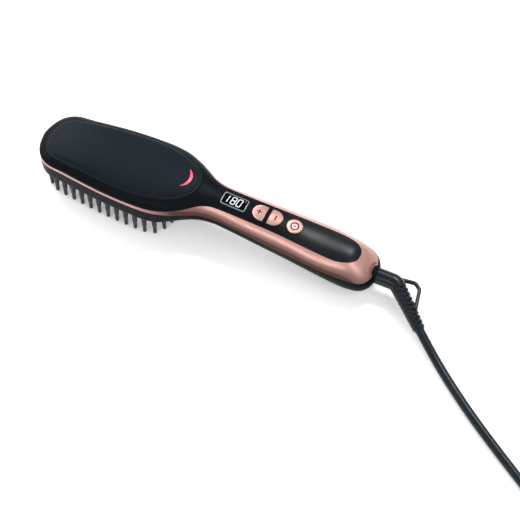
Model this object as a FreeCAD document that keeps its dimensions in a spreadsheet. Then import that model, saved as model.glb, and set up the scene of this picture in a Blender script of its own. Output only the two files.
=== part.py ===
"""Heated straightening brush: handle, paddle head with heated bristles, swivel lead and plug.

Frame: +X from the head's tip towards the lead, +Z up, the surface it lies on is Z = 0.
The brush lies on its bristle tips and the butt of its handle. Sizes are in millimetres.
"""
import FreeCAD, Part
import math
import os
import Sketcher
from FreeCAD import Placement, Rotation, Vector

doc = FreeCAD.newDocument("straightening_brush")

# ---------------------------------------------------------------- driving dimensions

SIZES = {
    # outer form
    "tip_radius": 20.0, "tip_round_high": 44.0, "tip_round_low": 17.0,
    "butt_radius": 13.0, "butt_round_high": 22.0, "butt_round_low": 26.0,
    "wall": 2.4, "seam_gap": 0.12, "inner_overlap": 1.5, "trim_wall": 2.2,
    "rim_level": 20.5, "rim_end": -21.2, "field_end": -22.7, "field_end_radius": 14.0,
    # glossy panel in the head
    "panel_margin": 4.6, "panel_depth": 1.2, "panel_proud": 0.5, "panel_end": -5.7,
    "panel_end_radius": 52.0, "panel_gap": 0.15,
    # crescent light
    "light_place": -17.2, "light_span": 17.4, "light_side": 0.9, "light_sag": 4.6, "light_width": 2.3,
    # bristle field
    "bristle_pitch": 8.0, "row_pitch": 8.4, "rows": 5, "row_start": -120.2, "row_end": -39.2,
    "pin_root_d": 3.8, "pin_end_d": 2.4, "cap_d": 3.0, "cap_length": 4.6,
    "plate_inset": 6.4, "plate_bottom": 22.0, "plate_thick": 3.0, "plate_gap": 0.3,
    "ring_thick": 2.6, "ring_lip": 0.6, "ring_gap": 0.2,
    "guard_inset": 2.7, "guard_root_d": 4.4, "guard_end_d": 2.7, "guard_splay": 0.4, "guard_phase": 0.5,
    # heater
    "ptc_length": 35.6, "ptc_width": 14.0, "ptc_thick": 2.4, "ptc_spacing": 44.0,
    "film_thick": 0.4, "clamp_thick": 1.0, "clamp_width": 18.0,
    "clamp_inset": 2.2, "clamp_corner": 3.0, "clamp_edge": 1.5,
    "clamp_boss_d": 7.0, "clamp_screw_d": 2.9, "heater_center": -78.2,
    "shield_level": 33.4, "shield_thick": 1.2, "shield_inset": 4.6, "post_d": 3.4,
    # control group
    "board_top": 29.8, "board_thick": 1.6, "board_start": 12.8, "board_end": 98.8,
    "board_width": 19.0, "board_boss_d": 5.2, "board_screw_d": 2.2, "board_screw_side": 6.9,
    "display_place": 22.8, "display_length": 20.4, "display_width": 11.4, "window_depth": 1.5,
    "window_gap": 0.1, "module_height": 6.6, "module_length": 17.0, "module_width": 8.6,
    "pair_place": 50.1, "pair_gap": 3.0, "pair_cap_length": 10.7, "pair_cap_width": 14.0,
    "power_place": 72.3, "power_d": 12.6,
    "button_proud": 0.7, "button_gap": 0.3, "cap_depth": 1.1,
    "flange_thick": 0.8, "flange_reach": 1.0, "flange_clear": 0.5, "stem_d": 4.6,
    "switch_size": 6.0, "switch_height": 3.4, "plunger_d": 3.4, "plunger_proud": 0.6,
    "plunger_gap": 0.1,
    "triac_place": 84.8, "capacitor_place": 91.8,
    # swivel in the butt
    "swivel_level": 16.5, "bush_d": 19.0, "bush_start": 129.8, "bush_end": 136.8,
    "neck_d": 12.6, "running_gap": 0.08, "core_flange_d": 15.2, "core_flange_thick": 2.6,
    "core_gap": 0.3, "stub_d": 8.0, "stub_start": 115.8, "ring_d": 10.4, "ring_width": 2.2,
    "carrier_wall": 1.4, "carrier_start": 113.3, "blade_width": 1.6,
    # strain relief, loop and lead
    "elbow_place": 155.8, "relief_d": 12.6, "relief_end_d": 9.4, "relief_turn": 41.0,
    "relief_drop": 11.5, "relief_length": 41.0, "rib_count": 8, "rib_depth": 1.3, "spine_side": -0.6,
    "relief_root": 6.0, "relief_collar": 3.0,
    "loop_thick": 2.6, "loop_high": 3.2,
    "cord_d": 7.0,
    # screws
    "screw_d": 2.9, "head_share": 1.9, "screw_boss_d": 7.0,
    "rear_screw": 106.8, "front_screw": 2.8,
    # plug
    "plug_width": 35.3, "plug_thick": 13.7, "plug_length": 36.0,
    "plug_pin_d": 4.0, "plug_pin_length": 19.0, "plug_pin_spacing": 18.6,
    "plug_neck": 9.0, "plug_end": 8.0,
}

# The outer form: place along X, half width, top, level of the widest line, bottom.
FORM = [
    (-141.2, 25.2, 41.7, 34.5, 13.5),
    (-113.2, 26.8, 44.4, 34.5, 13.5),
    (-81.2, 30.5, 46.3, 34.5, 13.5),
    (-51.2, 31.9, 46.8, 34.5, 13.5),
    (-31.2, 30.5, 47.1, 33.9, 14.4),
    (-13.2, 24.3, 46.0, 32.0, 21.0),
    (2.8, 17.3, 43.8, 29.8, 19.7),
    (18.8, 16.1, 42.2, 29.0, 17.7),
    (48.8, 17.6, 40.6, 27.2, 13.6),
    (73.8, 18.5, 39.1, 25.4, 8.8),
    (98.8, 19.6, 36.9, 22.8, 4.0),
    (118.8, 18.7, 35.8, 18.9, -0.07),
    (140.8, 16.2, 30.4, 16.0, 3.9),
]

# The lower edge of the metallic trim, seen from the side: place along X, level.
LOWER_SEAM = [
    (-151.2, 32.3), (-61.2, 32.1), (-39.2, 31.9), (-28.2, 32.1), (-18.2, 32.6), (-9.2, 32.9),
    (-0.2, 32.5), (8.8, 31.8), (18.8, 31.5), (28.8, 30.9), (38.8, 29.9), (48.8, 28.9),
    (58.8, 27.9), (68.8, 27.0), (78.8, 26.3), (88.8, 25.5), (98.8, 24.6), (108.8, 23.4),
    (118.8, 22.4), (134.8, 21.2), (150.0, 20.4),
]

# The upper edge of the trim round the head and neck: place along X, distance to the side, level.
UPPER_SEAM = [
    (-166.2, 31.9, 35.1), (-61.2, 31.9, 35.1), (-46.2, 31.3, 35.3), (-36.2, 30.6, 35.7),
    (-28.2, 29.0, 36.2), (-21.2, 26.9, 36.9), (-15.2, 24.1, 37.6), (-10.7, 21.4, 38.2),
    (-7.0, 18.7, 38.8), (-2.1, 15.1, 39.7), (0.8, 13.5, 40.0), (6.2, 11.4, 40.1), (10.8, 10.5, 40.0),
]

# Half width of the dark strip down the handle, seen from above.
STRIP = [(0.8, 13.5), (6.2, 11.4), (10.8, 10.5), (15.8, 10.3), (25.8, 10.25), (45.6, 10.4),
         (58.8, 10.65), (75.6, 11.3), (88.8, 11.8), (104.8, 12.2), (140.0, 12.4)]
STRIP_END = 125.6
STRIP_END_RADIUS = 23.0

# Middle line of the lead from the strain relief to the coil, then from the coil to the plug.
CORD_ROUTE = [
    (186.7, -26.9, 8.1), (201.8, -39.3, 4.0), (221.5, -55.6, 3.55), (244.8, -73.5, 3.55),
    (273.5, -93.2, 3.55), (303.7, -112.8, 3.55), (331.8, -130.0, 3.55), (354.3, -143.0, 3.55),
]
TAIL_ROUTE = [(424.3, -100.6, 9.7), (424.7, -84.0, 8.9), (423.7, -66.0, 7.3), (423.3, -50.0, 7.0)]
COIL_CENTRE = (378.8, -100.6)
COIL_TURNS_LOW = 4
COIL_TURNS_HIGH = 3
COIL_OUTER_TURN = 49.0

SECTION_POINTS = 28
HEAD_POWER = 5.0


def make_sheet():
    """Write the driving dimensions into a spreadsheet, one named cell each."""
    sheet = doc.addObject("Spreadsheet::Sheet", "sizes")
    cells = dict(SIZES)
    for index, (place, half, top, middle, bottom) in enumerate(FORM):
        cells[f"form_place_{index}"] = place
        cells[f"form_half_{index}"] = half
        cells[f"form_top_{index}"] = top
        cells[f"form_middle_{index}"] = middle
        cells[f"form_bottom_{index}"] = bottom
    for row, (name, value) in enumerate(cells.items(), start=1):
        sheet.set(f"A{row}", name)
        sheet.set(f"B{row}", str(value))
        sheet.setAlias(f"B{row}", name)
    doc.recompute()
    return sheet


sheet = make_sheet()


def size(name):
    """The value of one named cell."""
    return float(sheet.get(name))


# ---------------------------------------------------------------- outer form

def smooth(points):
    """A function through points (place, value), from a cubic curve with the place as parameter."""
    curve = Part.BSplineCurve()
    curve.interpolate(Points=[Vector(place, value, 0) for place, value in points],
                      Parameters=[place for place, value in points])
    low, high = points[0][0], points[-1][0]
    return lambda x: curve.value(min(max(x, low), high)).y


def steady(points):
    """A function through points (place, value) that never swings past them."""
    runs = [(b[0] - a[0], (b[1] - a[1]) / (b[0] - a[0])) for a, b in zip(points, points[1:])]
    slopes = [runs[0][1]]
    for (run_a, slope_a), (run_b, slope_b) in zip(runs, runs[1:]):
        if slope_a * slope_b <= 0.0:
            slopes.append(0.0)
        else:
            weight_a, weight_b = 2.0 * run_b + run_a, run_b + 2.0 * run_a
            slopes.append((weight_a + weight_b) / (weight_a / slope_a + weight_b / slope_b))
    slopes.append(runs[-1][1])

    def value(x):
        x = min(max(x, points[0][0]), points[-1][0])
        index = min(sum(1 for place, _ in points[1:-1] if place <= x), len(runs) - 1)
        run = runs[index][0]
        share = (x - points[index][0]) / run
        before, after = points[index][1], points[index + 1][1]
        return ((2 * share ** 3 - 3 * share ** 2 + 1) * before + (3 * share ** 2 - 2 * share ** 3) * after
                + (share ** 3 - 2 * share ** 2 + share) * run * slopes[index]
                + (share ** 3 - share ** 2) * run * slopes[index + 1])

    return value


def form_column(name):
    return smooth([(size(f"form_place_{i}"), size(f"form_{name}_{i}")) for i in range(len(FORM))])


HALF, TOP, MIDDLE, BOTTOM = (form_column(name) for name in ("half", "top", "middle", "bottom"))
TIP = size("form_place_0")
BUTT = size(f"form_place_{len(FORM) - 1}")
SEAM = steady(LOWER_SEAM)
STRIP_HALF = steady(STRIP)
EDGE_SIDE = steady([(x, side) for x, side, level in UPPER_SEAM])
EDGE_LEVEL = steady([(x, level) for x, side, level in UPPER_SEAM])
EDGE_CENTRE = 30.0
EDGE_START = -74.0
REACH = 60.0
SEAM_PLACES = ([-165.0, -120.0, -75.0, -60.0] + [-52.0 + 4.0 * i for i in range(22)]
               + [42.0 + 10.0 * i for i in range(8)] + [120.0, 128.0, 137.0, 149.0, 165.0])


def end_round(distance, radius, power):
    """Share of the full size that is left at a distance from a rounded end."""
    if distance >= radius:
        return 1.0
    return (1.0 - (1.0 - max(distance, 0.0) / radius) ** power) ** (1.0 / power)


def ease(x, start, end, before, after):
    """A value that goes smoothly from one level to another along X."""
    share = min(max((x - start) / (end - start), 0.0), 1.0)
    share = share * share * (3.0 - 2.0 * share)
    return before + (after - before) * share


def half_width(x, inset=0.0):
    from_tip, from_butt = x - TIP - inset, BUTT - inset - x
    return ((HALF(x) - inset) * end_round(from_tip, size("tip_radius"), 2.1)
            * end_round(from_butt, size("butt_radius"), 2.5))


def section(x, inset=0.0):
    """Closed rounded section across the body at x, a given depth under the surface."""
    from_tip, from_butt = x - TIP - inset, BUTT - inset - x
    middle = MIDDLE(x)
    nose = 0.25 + 0.75 * end_round(x - TIP, size("tip_round_high"), 1.6)
    up = (TOP(x) - inset - middle) * nose * end_round(from_butt, size("butt_round_high"), 1.6)
    down = ((middle - BOTTOM(x) - inset) * end_round(from_tip, size("tip_round_low"), 2.4)
            * end_round(from_butt, size("butt_round_low"), 2.4))
    wide = half_width(x, inset)
    power_up = ease(x, -31.0, 19.0, 2.3, 2.15)
    power_down = ease(x, -33.0, 7.0, HEAD_POWER, 2.1)
    points = []
    for index in range(SECTION_POINTS):
        angle = 2.0 * math.pi * index / SECTION_POINTS
        side, rise = math.sin(angle), -math.cos(angle)
        power, reach = (power_up, up) if rise >= 0 else (power_down, down)
        y = math.copysign(abs(side) ** (2.0 / power), side) * wide
        z = math.copysign(abs(rise) ** (2.0 / power), rise) * reach
        points.append(Vector(x, y, middle + z))
    curve = Part.BSplineCurve()
    curve.interpolate(Points=points, PeriodicFlag=True,
                      Parameters=[float(i) for i in range(SECTION_POINTS + 1)])
    return Part.Wire([curve.toShape()])


def body_form(inset=0.0):
    """The whole outer form as one loft, a given depth under the surface."""
    start, end = TIP + inset, BUTT - inset
    near_end = [0.15, 0.9, 2.8, 5.2, 8.5, 13.0, 19.0, 27.0]
    middle_count = 22
    first, last = start + near_end[-1], end - near_end[-1]
    places = [start + d for d in near_end]
    places += [first + (last - first) * i / middle_count for i in range(1, middle_count)]
    places += [end - d for d in reversed(near_end)]
    return Part.makeLoft([section(x, inset) for x in places], True, False)


def box(x0, x1, y0, y1, z0, z1):
    return Part.makeBox(x1 - x0, y1 - y0, z1 - z0, Vector(x0, y0, z0))


def rod(x, y, z0, z1, diameter):
    """A round rod along Z."""
    return Part.makeCylinder(diameter / 2.0, z1 - z0, Vector(x, y, z0))


def rod_x(x0, x1, diameter, y=0.0, z=None):
    """A round rod along X, on the swivel's axis unless another place is given."""
    level = size("swivel_level") if z is None else z
    return Part.makeCylinder(diameter / 2.0, x1 - x0, Vector(x0, y, level), Vector(1, 0, 0))


def arc_chain(points):
    """Edges through a row of points: an arc through each three, or a line where they are in line."""
    edges = []
    for index in range(0, len(points) - 2, 2):
        first, middle, last = points[index:index + 3]
        bulge = middle.distanceToLine(first, last - first)
        if bulge > 0.002:
            edges.append(Part.Arc(first, middle, last).toShape())
        else:
            edges.append(Part.makeLine(first, last))
    if len(points) % 2 == 0:
        edges.append(Part.makeLine(points[-2], points[-1]))
    return edges


def under_curve(function, places, shift):
    """Everything below a level that changes along X, as wide as the object."""
    row = [Vector(x, -60.0, function(x) + shift) for x in places]
    corners = [row[-1], Vector(places[-1], -60.0, -20.0), Vector(places[0], -60.0, -20.0), row[0]]
    lines = [Part.makeLine(a, b) for a, b in zip(corners, corners[1:])]
    return Part.Face(Part.Wire(arc_chain(row) + lines)).extrude(Vector(0, 120.0, 0))


def plan_block(function, places, z0, z1):
    """A block with a symmetric outline in plan: half width from a function of X, 0 at a round end."""
    upper = [Vector(x, function(x), z0) for x in places]
    lower = [Vector(p.x, -p.y, z0) for p in upper]
    edges = arc_chain(upper) + arc_chain(lower)
    for a, b in ((upper[0], lower[0]), (upper[-1], lower[-1])):
        if a.distanceToPoint(b) > 0.001:
            edges.append(Part.makeLine(a, b))
    wire = Part.Wire(Part.__sortEdges__(edges))
    return Part.Face(wire).extrude(Vector(0, 0, z1 - z0))


def rounded_places(start, end, start_radius, end_radius, middle_steps=12, end_steps=10):
    """Places along X that lie closer together in rounded ends."""
    places = [start + start_radius * (1 - math.cos(math.pi / 2 * i / end_steps))
              for i in range(end_steps)]
    first, last = start + start_radius, end - end_radius
    places += [first + (last - first) * i / middle_steps for i in range(middle_steps)]
    places += [end - end_radius * (1 - math.cos(math.pi / 2 * i / end_steps))
               for i in reversed(range(end_steps + 1))]
    return places


def strip_block(grow):
    """The region of the dark top: over the head and neck, and the strip down the handle."""
    sections = []
    places = [EDGE_START + 3.0 * i for i in range(29)]
    for x in places:
        side, rise = EDGE_SIDE(x) + 0.7 * grow, EDGE_LEVEL(x) - 0.7 * grow
        centre = ease(x, -73.0, -23.0, rise, EDGE_CENTRE)
        level = centre + REACH * (rise - centre) / side
        corners = [Vector(x, 0, centre), Vector(x, REACH, level), Vector(x, REACH, 2 * REACH),
                   Vector(x, -REACH, 2 * REACH), Vector(x, -REACH, level)]
        sections.append(Part.makePolygon(corners + corners[:1]))
    neck = Part.makeLoft(sections, True, True)
    level = EDGE_LEVEL(EDGE_START) - 0.7 * grow
    head = box(-165.0, EDGE_START, -REACH, REACH, level, 2 * REACH)

    joint, end = places[-1], STRIP_END + grow
    straight = end - STRIP_END_RADIUS
    steps = 10
    row = [joint - 0.5] + [joint + (straight - joint) * i / steps for i in range(1, steps)]
    row += [end - STRIP_END_RADIUS * (1 - math.cos(math.pi / 2 * i / 12)) for i in reversed(range(13))]

    def half(x):
        return (STRIP_HALF(x) + grow) * end_round(end - x, STRIP_END_RADIUS, 2.4)

    return head.fuse([neck, plan_block(half, row, EDGE_CENTRE - 3.0, 2 * REACH)])


def panel_block(grow):
    """The region of the glossy panel in the head."""
    margin, end = size("panel_margin") - grow, size("panel_end") + grow
    start, radius = TIP + margin, size("panel_end_radius")

    def half(x):
        inner = (HALF(x) - margin) * end_round(x - start, size("tip_radius"), 2.5)
        return max(inner, 0.0) if x < end - radius else max(
            (HALF(end - radius) - margin) * end_round(end - x, radius, 2.1), 0.0)

    return plan_block(half, rounded_places(start, end, size("tip_radius"), radius), 36.0, 60.0)


OUTER = body_form()
INNER = body_form(size("wall"))


# ---------------------------------------------------------------- helpers for the document

PARTS = []


def add_shape(name, shape):
    """A sub-part whose shape is worked out here."""
    feature = doc.addObject("Part::Feature", name)
    feature.Label = name
    feature.Shape = shape
    feature.Placement = Placement()
    PARTS.append(feature)
    return feature


def group(shapes):
    """Several separate solids kept together."""
    return Part.makeCompound(list(shapes))


def bind(target, **expressions):
    """Tie properties of an object to cells of the sheet."""
    for name, expression in expressions.items():
        target.setExpression(name.replace("__", "."), expression)


# ---------------------------------------------------------------- housing

def button_outlines(grow=0.0):
    """Solid prisms of the three button caps, grown by a clearance: name -> prism."""
    low, high = 20.0, 60.0
    radius, length = size("pair_cap_width") / 2.0, size("pair_cap_length")
    place, gap = size("pair_place"), size("pair_gap") / 2.0
    prisms = {}
    for name, side in (("plus_button", -1), ("minus_button", 1)):
        flat = place + side * (gap - grow)
        centre = place + side * (gap + length - radius)
        x0, x1 = sorted((flat, flat + side * (length + 4.0 * radius)))
        beyond = box(x0, x1, -2.0 * radius, 2.0 * radius, low, high)
        round_part = rod(centre, 0.0, low, high, 2.0 * (radius + grow)).common(beyond)
        x0, x1 = sorted((flat, centre))
        straight_part = box(x0, x1, -radius - grow, radius + grow, low, high)
        prisms[name] = round_part.fuse(straight_part).removeSplitter()
    prisms["power_button"] = rod(size("power_place"), 0.0, low, high, size("power_d") + 2.0 * grow)
    return prisms


def window_block(grow=0.0):
    half_l, half_w = size("display_length") / 2.0 + grow, size("display_width") / 2.0 + grow
    place = size("display_place")
    return box(place - half_l, place + half_l, -half_w, half_w, 30.0, 60.0)


def light_block(grow=0.0):
    """Crescent between two arcs that share their ends, bulging towards the handle."""
    span, sag, wide = size("light_span") / 2.0, size("light_sag"), size("light_width")
    base, side, low = size("light_place") - sag / 2.0, size("light_side"), 36.0
    ends = [Vector(base, side - span, low), Vector(base, side + span, low)]
    arcs = [Part.Arc(ends[0], Vector(base + sag + bulge, side, low), ends[1]).toShape()
            for bulge in (wide / 2.0, -wide / 2.0)]
    face = Part.Face(Part.Wire(arcs))
    if grow > 0.0:
        face = face.makeOffset2D(grow, 0)
    return face.extrude(Vector(0, 0, 24.0))


def make_housing():
    gap = size("seam_gap") / 2.0
    below = under_curve(SEAM, SEAM_PLACES, -gap)
    not_above = under_curve(SEAM, SEAM_PLACES, gap)
    hole = [rod_x(size("bush_start"), size("bush_end"), size("bush_d")),
            rod_x(size("bush_end") - 1.0, BUTT + 5.0, size("relief_d") + 1.2)]

    lower = OUTER.common(below).cut(INNER)
    lower = lower.cut(box(TIP - 5.0, size("rim_end"), -60.0, 60.0, -10.0, ring_top() + size("ring_gap")))
    lower = lower.fuse(lower_inside())
    for tool in hole + lower_cuts():
        lower = lower.cut(tool)
    add_shape("lower_housing", keep_largest(lower))

    trim_inner = body_form(size("trim_wall"))
    trim = OUTER.cut(trim_inner).cut(not_above).cut(strip_block(size("seam_gap")))
    for tool in hole:
        trim = trim.cut(tool)
    add_shape("trim_band", keep_largest(trim))

    upper = OUTER.common(strip_block(0.0)).cut(INNER.common(strip_block(size("inner_overlap"))))
    upper = upper.cut(panel_block(size("panel_gap")).cut(body_form(size("panel_depth"))))
    upper = upper.fuse(upper_inside())
    for prism in button_outlines(size("button_gap")).values():
        upper = upper.cut(prism)
    window_seat = body_form(-1.0).cut(body_form(size("window_depth")))
    upper = upper.cut(window_seat.common(window_block(size("window_gap"))))
    upper = upper.cut(window_block(-1.2)).cut(light_block(0.1))
    add_shape("upper_housing", keep_largest(upper))

    panel = body_form(-size("panel_proud")).cut(body_form(size("panel_depth")))
    panel = panel.common(panel_block(0.0)).cut(light_block(0.1))
    add_shape("top_panel", panel)

    lens = body_form(-size("panel_proud")).cut(body_form(size("wall"))).common(light_block(0.0))
    add_shape("indicator_lens", lens)

    window = OUTER.cut(body_form(size("window_depth"))).common(window_block(0.0))
    add_shape("display_window", window)


def keep_largest(shape):
    """The main solid of a cut, without slivers."""
    return max(shape.Solids, key=lambda solid: solid.Volume)


def lower_inside():
    """Ribs, cradles and screw bosses inside the lower shell."""
    level = size("board_top") - size("board_thick")
    ribs = []
    for place in (size("board_start") + 12.0, size("board_start") + 45.0, size("board_end") - 8.0):
        ribs.append(box(place - 1.0, place + 1.0, -14.0, 14.0, 0.0, level))
    for place in (size("carrier_start") + 4.0, size("bush_start") - 4.0):
        ribs.append(box(place - 1.0, place + 1.0, -14.0, 14.0, 0.0, size("swivel_level")))
    for place in (size("front_screw"), size("rear_screw")):
        ribs.append(rod(place, 0.0, 0.0, level - 2.0, size("screw_boss_d")))
    for x, y in board_screw_places():
        ribs.append(rod(x, y, 0.0, level, size("board_boss_d")))
    limit = body_form(size("wall") * 0.6)
    room = rod_x(size("carrier_start") - 2.0, size("bush_start") + 1.0, size("bush_d"))
    return [rib.common(limit).cut(room) for rib in ribs]


def lower_cuts():
    """Holes for the housing screws, with a recess for each head."""
    cuts = []
    for place in (size("front_screw"), size("rear_screw")):
        seat = BOTTOM(place) + 4.0
        cuts.append(rod(place, 0.0, -5.0, seat, size("head_share") * size("screw_d") + 0.6))
        cuts.append(rod(place, 0.0, seat - 1.0, 60.0, size("screw_d") + 0.2))
    for x, y in board_screw_places():
        cuts.append(rod(x, y, size("board_top") - 7.0, size("board_top"), size("board_screw_d")))
    return cuts


def upper_inside():
    """Screw bosses and the pegs that carry the light's board, under the upper shell."""
    level = size("board_top") - size("board_thick") - 2.0
    pieces = [rod(place, 0.0, level + 0.1, 60.0, size("screw_boss_d"))
              for place in (size("front_screw"), size("rear_screw"))]
    solid = group(pieces).common(body_form(size("wall") * 0.6))
    bores = [rod(place, 0.0, level - 1.0, level + 8.0, size("screw_d"))
             for place in (size("front_screw"), size("rear_screw"))]
    return solid.cut(group(bores))


# ---------------------------------------------------------------- bristle field and heater

def field_half(x, inset):
    """Half width of the bristle field at x, a given distance inside the head's lower rim."""
    middle, bottom = MIDDLE(size("heater_center")), BOTTOM(size("heater_center"))
    drop = (middle - size("rim_level")) / (middle - bottom)
    share = (1.0 - drop ** HEAD_POWER) ** (1.0 / HEAD_POWER)
    setback = size("tip_round_low") * (1.0 - (1.0 - drop ** 2.4) ** (1.0 / 2.4))
    start, end = TIP + setback + inset, size("field_end") - inset
    if not start < x < end:
        return 0.0
    return ((HALF(x) * share - inset) * end_round(x - start, size("tip_radius"), 2.2)
            * end_round(end - x, size("field_end_radius"), 2.3))


def ring_top():
    return size("rim_level") + size("ring_thick")


def field_limits(inset):
    middle, bottom = MIDDLE(size("heater_center")), BOTTOM(size("heater_center"))
    drop = (middle - size("rim_level")) / (middle - bottom)
    setback = size("tip_round_low") * (1.0 - (1.0 - drop ** 2.4) ** (1.0 / 2.4))
    return TIP + setback + inset, size("field_end") - inset


def field_block(inset, z0, z1):
    """A straight block with the outline of the bristle field, set in by a distance."""
    start, end = field_limits(inset)
    places = rounded_places(start, end, size("tip_radius"), size("field_end_radius"))
    return plan_block(lambda x: field_half(x, inset), places, z0, z1)


def row_places():
    count = int((size("row_end") - size("row_start")) / size("bristle_pitch")) + 1
    return [size("row_start") + size("bristle_pitch") * i for i in range(count)]


def pin_places():
    """Middles of the heated pins, row by row, kept inside the plate's outline."""
    places = []
    rows = int(size("rows"))
    for row in range(rows):
        y = (row - (rows - 1) / 2.0) * size("row_pitch")
        shift = 0.0 if row % 2 == 0 else size("bristle_pitch") / 2.0
        for x in row_places():
            room = field_half(x + shift, size("plate_inset")) - abs(y)
            if room > size("pin_root_d") / 2.0 + 0.6:
                places.append((x + shift, y))
    return places


def guard_places():
    """Root middle and outward direction of each guard bristle, evenly round the head."""
    inset = size("guard_inset")
    outline = []
    steps = 260
    start, end = field_limits(inset)
    for index in range(steps + 1):
        x = start + (end - start) * (0.5 - 0.5 * math.cos(math.pi * index / steps))
        outline.append(Vector(x, field_half(x, inset), 0.0))
    outline += [Vector(p.x, -p.y, 0.0) for p in reversed(outline[1:-1])]
    lengths = [0.0]
    for a, b in zip(outline, outline[1:] + outline[:1]):
        lengths.append(lengths[-1] + (b - a).Length)
    total = lengths[-1]
    count = int(round(total / size("bristle_pitch")))
    found, cursor = [], 0
    for index in range(count):
        target = total * (index + size("guard_phase")) / count
        while lengths[cursor + 1] < target:
            cursor += 1
        a, b = outline[cursor % len(outline)], outline[(cursor + 1) % len(outline)]
        run = (b - a)
        share = (target - lengths[cursor]) / max(run.Length, 1e-6)
        point = a + run * share
        out = Vector(run.y, -run.x, 0.0) * -1.0
        out.normalize()
        found.append((point, out))
    return found


def tapered_pin(x, y, top, bottom, root_d, end_d, lean=None):
    """A straight tapered bristle with a rounded end, leaning if asked."""
    length = top - bottom
    radius = end_d / 2.0
    cone = Part.makeCone(radius, root_d / 2.0, length - radius, Vector(0, 0, radius), Vector(0, 0, 1))
    ball = Part.makeSphere(radius, Vector(0, 0, radius))
    pin = cone.fuse(ball).removeSplitter()
    pin.translate(Vector(x, y, bottom))
    if lean is not None:
        turn = math.degrees(math.atan2(lean.Length, length))
        axis = lean.cross(Vector(0, 0, 1))
        pin.rotate(Vector(x, y, top), axis, turn)
    return pin


def make_bristles():
    bottom, thick = size("plate_bottom"), size("plate_thick")
    ring_low = size("rim_level")
    ring = OUTER.common(box(TIP, size("rim_end") - size("ring_gap"), -60.0, 60.0, ring_low, ring_top()))
    opening = field_block(size("plate_inset") + size("ring_lip"), 0.0, 60.0)
    seat = field_block(size("plate_inset") - size("plate_gap"), bottom, 60.0)
    ring = ring.cut(opening).cut(seat)
    add_shape("guard_ring", keep_largest(ring))

    guards = []
    for point, out in guard_places():
        guards.append(tapered_pin(point.x, point.y, ring_low, 0.0, size("guard_root_d"),
                                  size("guard_end_d"), out * size("guard_splay")))
    shift = min(solid.BoundBox.ZMin for solid in guards)
    trimmed = []
    for solid in guards:
        solid.translate(Vector(0, 0, -shift))
        trimmed.append(solid.cut(box(-200, 200, -60, 60, ring_low, 60)))
    add_shape("guard_bristles", group(trimmed))

    plate = field_block(size("plate_inset"), bottom, bottom + thick)
    boss_top = clamp_level()
    for x in clamp_screw_places():
        plate = plate.fuse(rod(x, 0.0, bottom + thick - 0.5, boss_top, size("clamp_boss_d")))
        plate = plate.cut(rod(x, 0.0, boss_top - 4.5, boss_top + 1.0, size("clamp_screw_d")))
    add_shape("heating_plate", plate.removeSplitter())

    cap_top = size("cap_length")
    pins, caps = [], []
    for x, y in pin_places():
        pins.append(Part.makeCone(size("pin_end_d") / 2.0, size("pin_root_d") / 2.0, bottom - cap_top,
                                  Vector(x, y, cap_top)))
        radius = size("cap_d") / 2.0
        cap = rod(x, y, radius, cap_top, size("cap_d")).fuse(Part.makeSphere(radius, Vector(x, y, radius)))
        caps.append(cap.removeSplitter())
    add_shape("heated_pins", group(pins))
    add_shape("bristle_caps", group(caps))


def clamp_level():
    return (size("plate_bottom") + size("plate_thick") + size("ptc_thick") + size("film_thick"))


def clamp_limits():
    """Both ends of the heater clamp, a little inside the ends of the plate."""
    start, end = field_limits(size("plate_inset"))
    return start + size("clamp_inset"), end - size("clamp_inset")


def clamp_screw_places():
    start, end = clamp_limits()
    edge = size("clamp_boss_d") / 2.0 + size("clamp_edge")
    return [start + edge, (start + end) / 2.0, end - edge]


def make_heater():
    plate_top = size("plate_bottom") + size("plate_thick")
    middle = sum(clamp_limits()) / 2.0
    half_l, half_w = size("ptc_length") / 2.0, size("ptc_width") / 2.0
    elements = []
    for side in (-1, 1):
        x = middle + side * size("ptc_spacing") / 2.0
        elements.append(box(x - half_l, x + half_l, -half_w, half_w,
                            plate_top, plate_top + size("ptc_thick")))
    add_shape("ptc_heaters", group(elements))

    films = []
    film_low = plate_top + size("ptc_thick")
    for side in (-1, 1):
        x = middle + side * size("ptc_spacing") / 2.0
        films.append(box(x - half_l - 0.5, x + half_l + 0.5, -half_w - 1.0, half_w + 1.0,
                         film_low, film_low + size("film_thick")))
    add_shape("insulating_films", group(films))

    level = clamp_level()
    start, end = clamp_limits()
    wide = size("clamp_width") / 2.0
    clamp = box(start, end, -wide, wide, level, level + size("clamp_thick"))
    clamp = clamp.makeFillet(size("clamp_corner"), [e for e in clamp.Edges if abs(e.tangentAt(0).z) > 0.9])
    for x in clamp_screw_places():
        clamp = clamp.cut(rod(x, 0.0, level - 1.0, level + 3.0, size("clamp_screw_d") + 0.3))
    add_shape("heater_clamp", clamp)

    top = level + size("clamp_thick")
    add_shape("heater_screws", group(
        screw(x, 0.0, top, 5.0, size("clamp_screw_d"), up=True) for x in clamp_screw_places()))

    fuse = rod_x(middle - 6.0, middle + 6.0, 4.0, y=half_w + 4.0, z=plate_top + 2.05)
    add_shape("thermal_fuse", fuse)
    sensor = rod_x(middle - 4.0, middle + 4.0, 2.6, y=-half_w - 4.0, z=plate_top + 1.35)
    add_shape("thermistor", sensor)

    shield_low = size("shield_level")
    start, end = TIP + size("shield_inset") + 2.0, size("rim_end") - 2.0
    places = rounded_places(start, end, size("tip_radius"), 1.0)
    shield = plan_block(lambda x: half_width(x, size("shield_inset")), places, shield_low,
                        shield_low + size("shield_thick"))
    posts = []
    for x in (TIP + 30.0, size("rim_end") - 26.0):
        for side in (-1, 1):
            y = side * field_half(x, size("guard_inset") + 1.5)
            posts.append(rod(x, y, ring_top(), shield_low + 0.5, size("post_d")))
    shield = shield.fuse(posts)
    add_shape("heat_shield", shield)


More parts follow.
